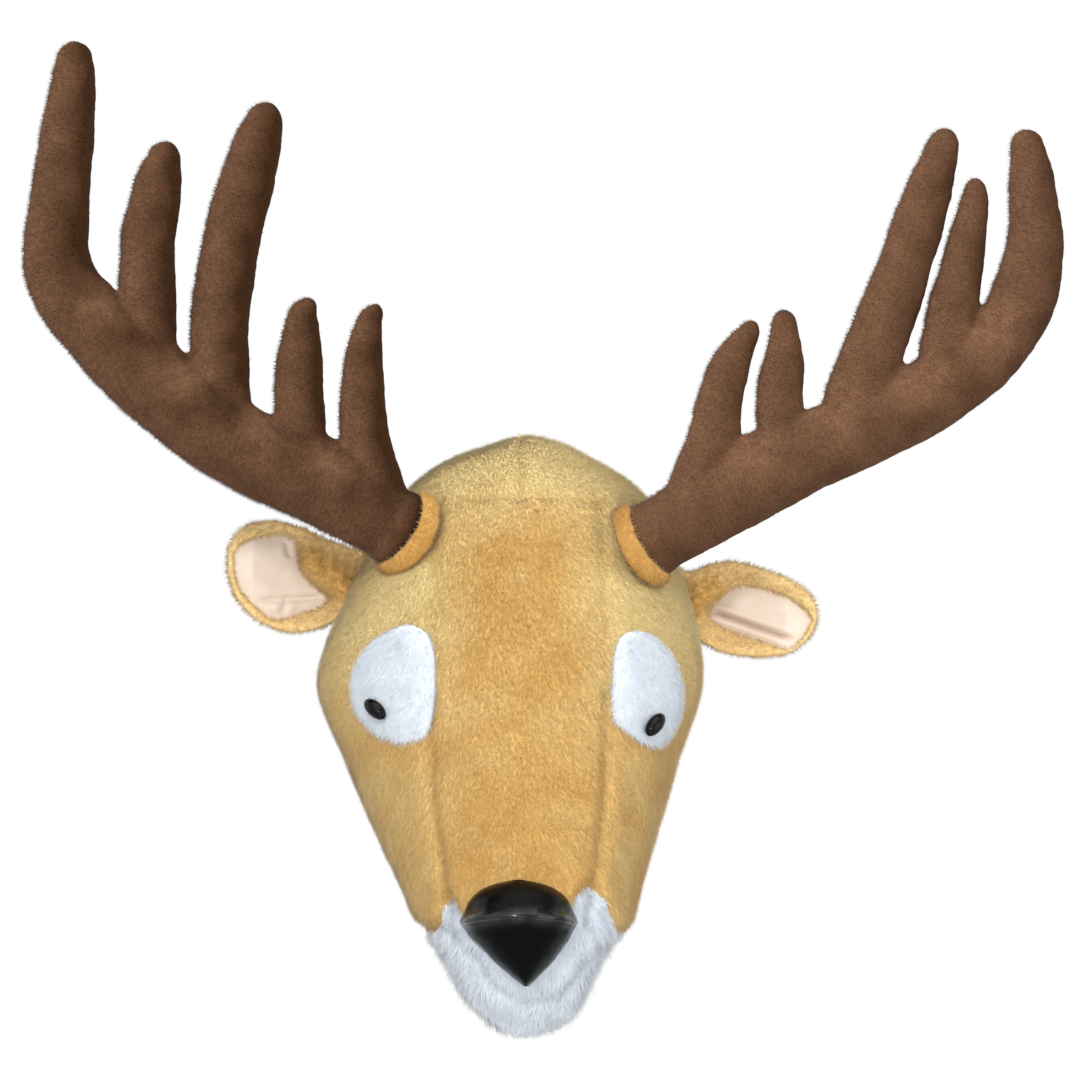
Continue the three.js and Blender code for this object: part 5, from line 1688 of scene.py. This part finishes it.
@dataclass
class BackCover:
    """The felt cover on the wall side, with a window for the hanger and stitches along both edges."""

    form: HeadForm
    inset: float = 1.4
    window: tuple[float, float, float] = (17.4, 7.7, 64.5)
    faces_wall: float = -0.35
    faces_board: float = -1.5
    around: int = 260
    rows: int = 26

    def outline(self) -> np.ndarray:
        """Gives the cover's outer edge in the wall plane, evenly spaced."""
        z = np.linspace(-198, 103, 2400)
        rows = self.form.at(z)
        share = (WALL_SKIN - rows[:, 4]) / np.where(rows[:, 5] > WALL_SKIN, rows[:, 5] - rows[:, 4], np.inf)
        z, rows, share = z[share > 0], rows[share > 0], share[share > 0]
        across = (1 - share**self.form.squareness) ** (1 / self.form.squareness)
        right, left = np.column_stack([across * rows[:, 2], z]), np.column_stack([-across * rows[:, 1], z])
        edge = np.vstack([right, left[::-1]])
        run = np.concatenate([[0], np.cumsum(np.linalg.norm(np.diff(edge, axis=0), axis=1))])
        spots = np.linspace(0, run[-1], self.around, endpoint=False)
        return np.column_stack([np.interp(spots, run, edge[:, k]) for k in range(2)])

    def ring(self, share: float, edge: np.ndarray) -> np.ndarray:
        """Gives the closed line at a share of the way from the window to the edge."""
        half, low, high = self.window
        centre = np.array([0, (low + high) / 2])
        way = unit(edge - centre)
        x, z = np.maximum(np.abs(way), 1e-6).T
        reach = np.minimum(half / x, (high - low) / 2 / z)
        far = np.linalg.norm(edge - centre, axis=1) - self.inset
        return centre + way * (reach + (far - reach) * share)[:, None]

    def build(self) -> tuple[bpy.types.Object, tuple[float, float], float]:
        """Builds the cover.

        Returns:
            The cover, its flat width and length in metres, and its area in square metres.
        """
        edge = self.outline()
        shares = (1 - np.cos(np.linspace(0, np.pi, self.rows + 1))) / 2
        layers = []
        for depth, way in ((self.faces_wall, -1.0), (self.faces_board, 1.0)):
            for share in shares:
                flat = self.ring(share, edge)
                rounded = 0.4 * math.exp(-((min(share, 1 - share) / 0.02) ** 2))
                wave = rough(np.column_stack([flat[:, 0], flat[:, 1] * 0, flat[:, 1]]), 16.0, 3.0) * 0.16
                y = depth + way * rounded + (wave if way < 0 else np.zeros_like(wave))
                layers.append(np.column_stack([flat[:, 0], y, flat[:, 1]]))
        points = np.vstack(layers)
        count = len(shares) * self.around
        number = np.arange(2 * count).reshape(2, len(shares), self.around)
        right = np.roll(number, -1, axis=2)
        wall = np.stack([number[0, :-1], right[0, :-1], right[0, 1:], number[0, 1:]], axis=2).reshape(-1, 4)
        board = np.stack([number[1, :-1], number[1, 1:], right[1, 1:], right[1, :-1]], axis=2).reshape(-1, 4)
        inner = np.column_stack([number[0, 0], number[1, 0], right[1, 0], right[0, 0]])
        outer = np.column_stack([number[0, -1], right[0, -1], right[1, -1], number[1, -1]])
        cover = mesh_object("back_cover_felt", points, np.vstack([wall, board, inner, outer]).tolist())
        outward(cover)
        set_bake_map(cover, np.vstack([points[:count, [0, 2]], points[count:, [0, 2]] + [0, 190.0]]))
        cover.data.materials.append(shared("backing", Finish.BACKING.value.material))
        lines = []
        for share in (0.955, 0.06):
            flat = self.ring(share, edge)
            lines.append(np.column_stack([flat[:, 0], np.full(len(flat), self.faces_wall), flat[:, 1]]))
        thread = Finish.THREAD.value
        meshes = [Stitches.along(line, thread, 5 + number) for number, line in enumerate(lines)]
        add_meshes(cover, meshes, shared(thread.name, thread.material))
        rim = self.ring(1.0, edge) * MM
        width, length = np.ptp(rim, axis=0)
        x, z = rim.T
        area = abs(float((x * np.roll(z, -1) - z * np.roll(x, -1)).sum())) / 2
        half, low, high = self.window
        return cover, (float(width), float(length)), area - 2 * half * (high - low) * MM**2


@dataclass
class Studio:
    """Camera, lamps, floor and the white surround."""

    centre: tuple[float, float] = (10.5, 50.0)
    width: float = 540.0
    distance: float = 20.0
    floor_height: float = -0.75

    def build(self) -> None:
        """Places everything that isn't part of the object."""
        scene = bpy.context.scene
        scene.view_settings.view_transform = "Standard"
        camera = bpy.data.objects.new("camera", bpy.data.cameras.new("camera"))
        scene.collection.objects.link(camera)
        camera.location = (self.centre[0] * MM, -self.distance, self.centre[1] * MM)
        camera.rotation_euler = (math.pi / 2, 0, 0)
        camera.data.lens = camera.data.sensor_width * self.distance / (self.width * MM)
        camera.data.clip_start, camera.data.clip_end = 0.1, 100
        scene.camera = camera
        self.lamp("key_lamp", (-0.9, -1.9, 1.7), 1.5, 12.0)
        self.lamp("fill_lamp", (2.0, -1.2, 0.6), 1.6, 13.0)
        self.lamp("gloss_lamp", (-0.25, -1.69, 0.86), 0.24, 10.0)
        self.lamp("low_lamp", (0.0, -1.8, -0.55), 1.2, 8.0)
        self.lamp("top_lamp", (0.1, -0.5, 2.1), 1.4, 8.0)
        self.floor()
        self.surround()

    def lamp(self, name: str, where: tuple[float, float, float], size: float, power: float) -> None:
        """Adds a soft square lamp that looks at the head."""
        lamp = bpy.data.lights.new(name, "AREA")
        lamp.size, lamp.energy = size, power
        made = bpy.data.objects.new(name, lamp)
        bpy.context.scene.collection.objects.link(made)
        made.location = where
        aim = Vector((0, -0.1, 0)) - Vector(where)
        made.rotation_euler = aim.to_track_quat("-Z", "Y").to_euler()

    def floor(self) -> None:
        """Adds the pale floor, well below the head."""
        size = 4000.0
        height = self.floor_height / MM
        corners = np.array([(-size, -size, height), (size, -size, height), (size, size, height), (-size, size, height)])
        made = mesh_object("studio_floor", corners, [(0, 1, 2, 3)])
        finish = PlainFinish("studio_floor", (236, 236, 236), (230, 230, 230), 0.9, patch=2.0, grain=20.0, relief=0.0)
        made.data.materials.append(finish.material())

    def surround(self) -> None:
        """Sets the plain light from all round, and white where the camera, a gloss or a glass looks at it."""
        world = bpy.data.worlds.new("studio")
        bpy.context.scene.world = world
        world.use_nodes = True
        tree = world.node_tree
        light, colour = tree.nodes["Background"], (1, 1, 1, 1)
        feed(tree, light, {"Color": colour, "Strength": 0.8})
        white = node(tree, "ShaderNodeBackground", {"Color": colour, "Strength": 1.0})
        path = node(tree, "ShaderNodeLightPath").outputs
        seen = path["Is Camera Ray"]
        for ray in ("Is Glossy Ray", "Is Transmission Ray"):
            seen = node(tree, "ShaderNodeMath", {0: seen, 1: path[ray]}, operation="MAXIMUM").outputs[0]
        mix = node(tree, "ShaderNodeMixShader", {0: seen, 1: light.outputs[0], 2: white.outputs[0]})
        feed(tree, tree.nodes["World Output"], {"Surface": mix.outputs[0]})


def settle(made: bpy.types.Object, body: str, slot: str, *nodes: str, fill: float | None = None) -> None:
    """Hands a finished piece to the frame.

    Args:
        made: The piece.
        body: The body it rides on.
        slot: The finish slot it takes; not used.
        nodes: The parts it stands for.
        fill: How full it is stuffed, for a padded piece; not used.
    """
    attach(made, body)
    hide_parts(*nodes)
    LOG.info("%s: %d faces on %s", made.name, len(made.data.polygons), body)


TAN_PILE = Pile(length=3.6, radius=0.27, density=1.4, lean=1.35, wander=1.0, tuft=9.0, stray=0.35)
EAR_PILE = Pile(length=2.6, radius=0.25, density=1.6, lean=0.6, wander=1.9, tuft=3.2, stray=0.4, tuft_tone=0.22)
WHITE_PILE = Pile(
    length=6.0, radius=0.34, density=1.5, lean=1.1, wander=2.1, tuft=8.0, stray=0.45, tone_low=0.97, tuft_tone=0.04,
    softness=0.86,
)
PATCH_PILE = Pile(
    length=4.0, radius=0.3, density=2.0, lean=1.2, wander=0.8, tuft=7.0, stray=0.4, tone_low=0.98, tuft_tone=0.02,
    softness=0.94,
)
COLLAR_PILE = Pile(length=2.2, radius=0.25, density=1.7, lean=0.5, wander=1.7, tuft=4.0, stray=0.4)
VELOUR_PILE = Pile(
    length=1.9, radius=0.19, density=0.9, lean=1.3, wander=0.6, tuft=4.0, stray=0.4, tone_low=0.5, tuft_tone=0.3
)


def dress_head(form: HeadForm) -> None:
    """Builds the head's skins, sets their pile and hands them to the frame.

    Args:
        form: The head's form.
    """
    white = ("muzzle_panel_left", "muzzle_panel_right", "chin_panel")
    for seed, (name, panel) in enumerate(HeadSkins(form).build().items()):
        pile, finish = (WHITE_PILE, Finish.WHITE) if name in white else (TAN_PILE, Finish.TAN)
        pile.grow(panel, finish.value, seed + 3)
        nodes = (name, "head_filling") if name == "forehead_panel" else (name,)
        slot = "white_plush" if name in white else "tan_plush"
        settle(panel, "head", slot, *nodes, fill=0.9)


def joint_point(frame: dict, name: str) -> Vector:
    """Gives the place of a joint in millimetres."""
    for joint in frame["record"]["behaviour"]["joints"]:
        if joint["name"] == name:
            return Vector(joint["pos_m"]) / MM
    raise KeyError(name)


ANTLERS = (
    Antler(
        "left",
        -4,
        (
            (0, 0, 0.098), (0.205, 0.125, 0.116), (0.383, 0.198, 0.112), (0.578, 0.343, 0.113), (0.75, 0.503, 0.102),
            (0.842, 0.64, 0.093), (0.838, 0.82, 0.082), (0.822, 0.97, 0.074),
            (0.805, 1.12, 0.061), (0.803, 1.16, 0.054),
        ),
        (
            ((0.622, 0.39, 0.083), (0.622, 0.67, 0.076), (0.611, 0.77, 0.073),
             (0.592, 0.87, 0.063), (0.58, 0.915, 0.05)),
            ((0.438, 0.24, 0.085), (0.442, 0.5, 0.08), (0.41, 0.72, 0.079), (0.357, 0.92, 0.071),
             (0.333, 1.005, 0.057)),
            ((0.238, 0.165, 0.072), (0.245, 0.32, 0.069), (0.242, 0.42, 0.063),
             (0.236, 0.52, 0.047), (0.228, 0.542, 0.037)),
            ((0.05, 0.07, 0.082), (0.083, 0.25, 0.068), (0.082, 0.42, 0.055), (0.07, 0.51, 0.04), (0.06, 0.53, 0.033)),
        ),
    ),
    Antler(
        "right",
        7,
        (
            (0, 0, 0.095), (0.273, 0.164, 0.112), (0.44, 0.24, 0.105), (0.673, 0.35, 0.102), (0.845, 0.465, 0.09),
            (0.932, 0.6, 0.088), (0.962, 0.75, 0.076), (0.952, 0.9, 0.064), (0.942, 0.975, 0.05),
        ),
        (
            ((0.11, 0.12, 0.078), (0.153, 0.25, 0.07), (0.173, 0.35, 0.064),
             (0.202, 0.445, 0.054), (0.243, 0.515, 0.036)),
            ((0.331, 0.21, 0.072), (0.32, 0.35, 0.066), (0.332, 0.45, 0.056), (0.332, 0.537, 0.04)),
            ((0.497, 0.3, 0.09), (0.551, 0.45, 0.085), (0.623, 0.65, 0.075), (0.69, 0.85, 0.067), (0.73, 0.982, 0.047)),
            ((0.725, 0.39, 0.078), (0.752, 0.55, 0.071), (0.781, 0.7, 0.059),
             (0.808, 0.838, 0.045), (0.811, 0.87, 0.036)),
        ),
        pale_share=0.5,
        painted_side_light=0.45,
    ),
)
EARS = (
    Ear(
        "left",
        ((-0.24, 0.36), (-0.06, 0.4), (0.12, 0.47), (0.36, 0.585), (0.63, 0.635), (0.87, 0.54), (0.985, 0.28)),
        ((-0.12, -0.2), (0.04, -0.24), (0.24, -0.33), (0.47, -0.36), (0.73, -0.25), (0.9, -0.04), (0.985, 0.28)),
        (
            (53.3, 19), (45.3, 26), (32.8, 28), (25.3, 26), (22.3, 12), (15.3, 3), (8.3, -3), (18.8, -8),
            (33.8, -12), (43.8, -5), (50.8, 3),
        ),
        ((42.0, -3.5, 10.0, -2.0, 2.2, 1.5), (28.0, -3.0, 31.0, -10.0, 1.5, 1.3), (29.0, 26.0, 27.0, 18.0, 1.4, 1.3)),
        (-4.0, 0.0, 16.0, 18.0, 7.2, 9.0),
    ),
    Ear(
        "right",
        ((-0.16, 0.34), (-0.05, 0.3), (0.13, 0.37), (0.33, 0.39), (0.67, 0.285), (0.91, 0.14), (1.02, -0.05)),
        ((-0.1, -0.3), (0.0, -0.3), (0.24, -0.42), (0.56, -0.46), (0.8, -0.41), (0.96, -0.25), (1.02, -0.05)),
        (
            (7.4, -2.5), (14, 4), (20.4, 8.6), (30, 8.0), (41.9, 4.4), (51, -0.5), (55.9, -6.5), (53.5, -13),
            (48.5, -19), (44, -20.5), (34.9, -17.5), (21.9, -13.5), (12.4, -9),
        ),
        ((8.0, -2.8, 47.0, -16.5, 5.5, 1.25),),
        (-6.0, -6.0, 8.0, 10.0, 3.6, 9.0),
        rim=(3.6, 7.0),
    ),
)
EYES = (
    Eye(
        "left",
        (
            (-56.6, 8.6), (-47, 5.0), (-43, -3.9), (-42, -19), (-43, -32.3), (-45.5, -43), (-51, -48.6), (-59, -49.6),
            (-68.5, -46.6), (-76, -40.5), (-81.5, -33), (-83, -24), (-82.2, -15), (-78, -6), (-71, 2),
        ),
        (-68.0, -35.6),
        -36.0,
    ),
    Eye(
        "right",
        (
            (58, 5.4), (66, 3.6), (72.5, -2), (77, -8.5), (80.6, -19), (81.4, -29), (80, -37), (76, -46), (70, -51.4),
            (61.8, -49.4), (53.4, -43.4), (48.4, -39), (47.2, -30.4), (47.2, -19), (48.2, -5.8), (51.5, 2.7),
        ),
        (63.7, -42.8),
        36.0,
    ),
)


def dress_antlers(frame: dict) -> None:
    """Builds both antlers with their collars and hands them to the frame."""
    for number, antler in enumerate(ANTLERS):
        name = antler.name
        pivot = joint_point(frame, f"antler_{name}_sway")
        for key, panel in antler.build(pivot).items():
            VELOUR_PILE.grow(panel, Finish.VELOUR.value, 20 + number)
            nodes = [f"antler_{name}_{key}_panel"] + ([f"antler_{name}_filling"] if key == "front" else [])
            settle(panel, f"antler_{name}", "brown_velour", *nodes, fill=0.9)
        roll = Collar(antler).build(pivot)
        COLLAR_PILE.grow(roll, Finish.COLLAR.value, 30 + number)
        settle(roll, "head", "tan_plush", f"antler_collar_{name}", fill=0.8)


def dress_ears(frame: dict) -> None:
    """Builds both ears and hands them to the frame."""
    for number, ear in enumerate(EARS):
        made = ear.build(joint_point(frame, f"ear_{ear.name}_flop"))
        EAR_PILE.grow(made["back"], Finish.EAR.value, 40 + number)
        settle(made["back"], f"ear_{ear.name}", "tan_plush", f"ear_{ear.name}_back", fill=0.5)
        settle(made["lining"], f"ear_{ear.name}", "ear_lining", f"ear_{ear.name}_lining", fill=0.3)


def dress_face(form: HeadForm) -> None:
    """Builds the eyes and the nose and hands them to the frame."""
    for number, eye in enumerate(EYES):
        made = eye.build(form)
        PATCH_PILE.grow(made["patch"], Finish.WHITE.value, 50 + number)
        settle(made["patch"], "head", "white_plush", f"eye_patch_{eye.name}", fill=0.9)
        settle(made["bead"], "head", "bead_eye", f"eye_bead_{eye.name}")
    for key, panel in Nose(form).build().items():
        nodes = [f"nose_{key}_panel"] + (["nose_filling"] if key == "front" else [])
        settle(panel, "head", "nose_leatherette", *nodes, fill=0.9)


def dress_back(frame: dict, form: HeadForm) -> None:
    """Builds the cover and gives the board and the hanger their finishes."""
    cover, flat, area = BackCover(form).build()
    settle(cover, "head", "backing_cloth", "back_cover")
    finishes = {"backing_board": Finish.BOARD, "hanger_plate": Finish.STEEL, "hanger_ring": Finish.STEEL,
                "hanger_screw": Finish.STEEL, "eye_washer_left": Finish.WASHER, "eye_washer_right": Finish.WASHER}
    for name, finish in finishes.items():
        node = frame["nodes"][name]
        material = shared(finish.value.name, finish.value.material)
        for place in range(len(node.material_slots)):
            node.material_slots[place].material = material


def main() -> None:
    """Builds the whole object in order."""
    logging.basicConfig(level=logging.INFO, format="%(message)s")
    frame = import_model()
    form = HeadForm()
    dress_head(form)
    dress_face(form)
    dress_antlers(frame)
    dress_ears(frame)
    dress_back(frame, form)
    Studio().build()


if __name__ == "__main__":
    main()
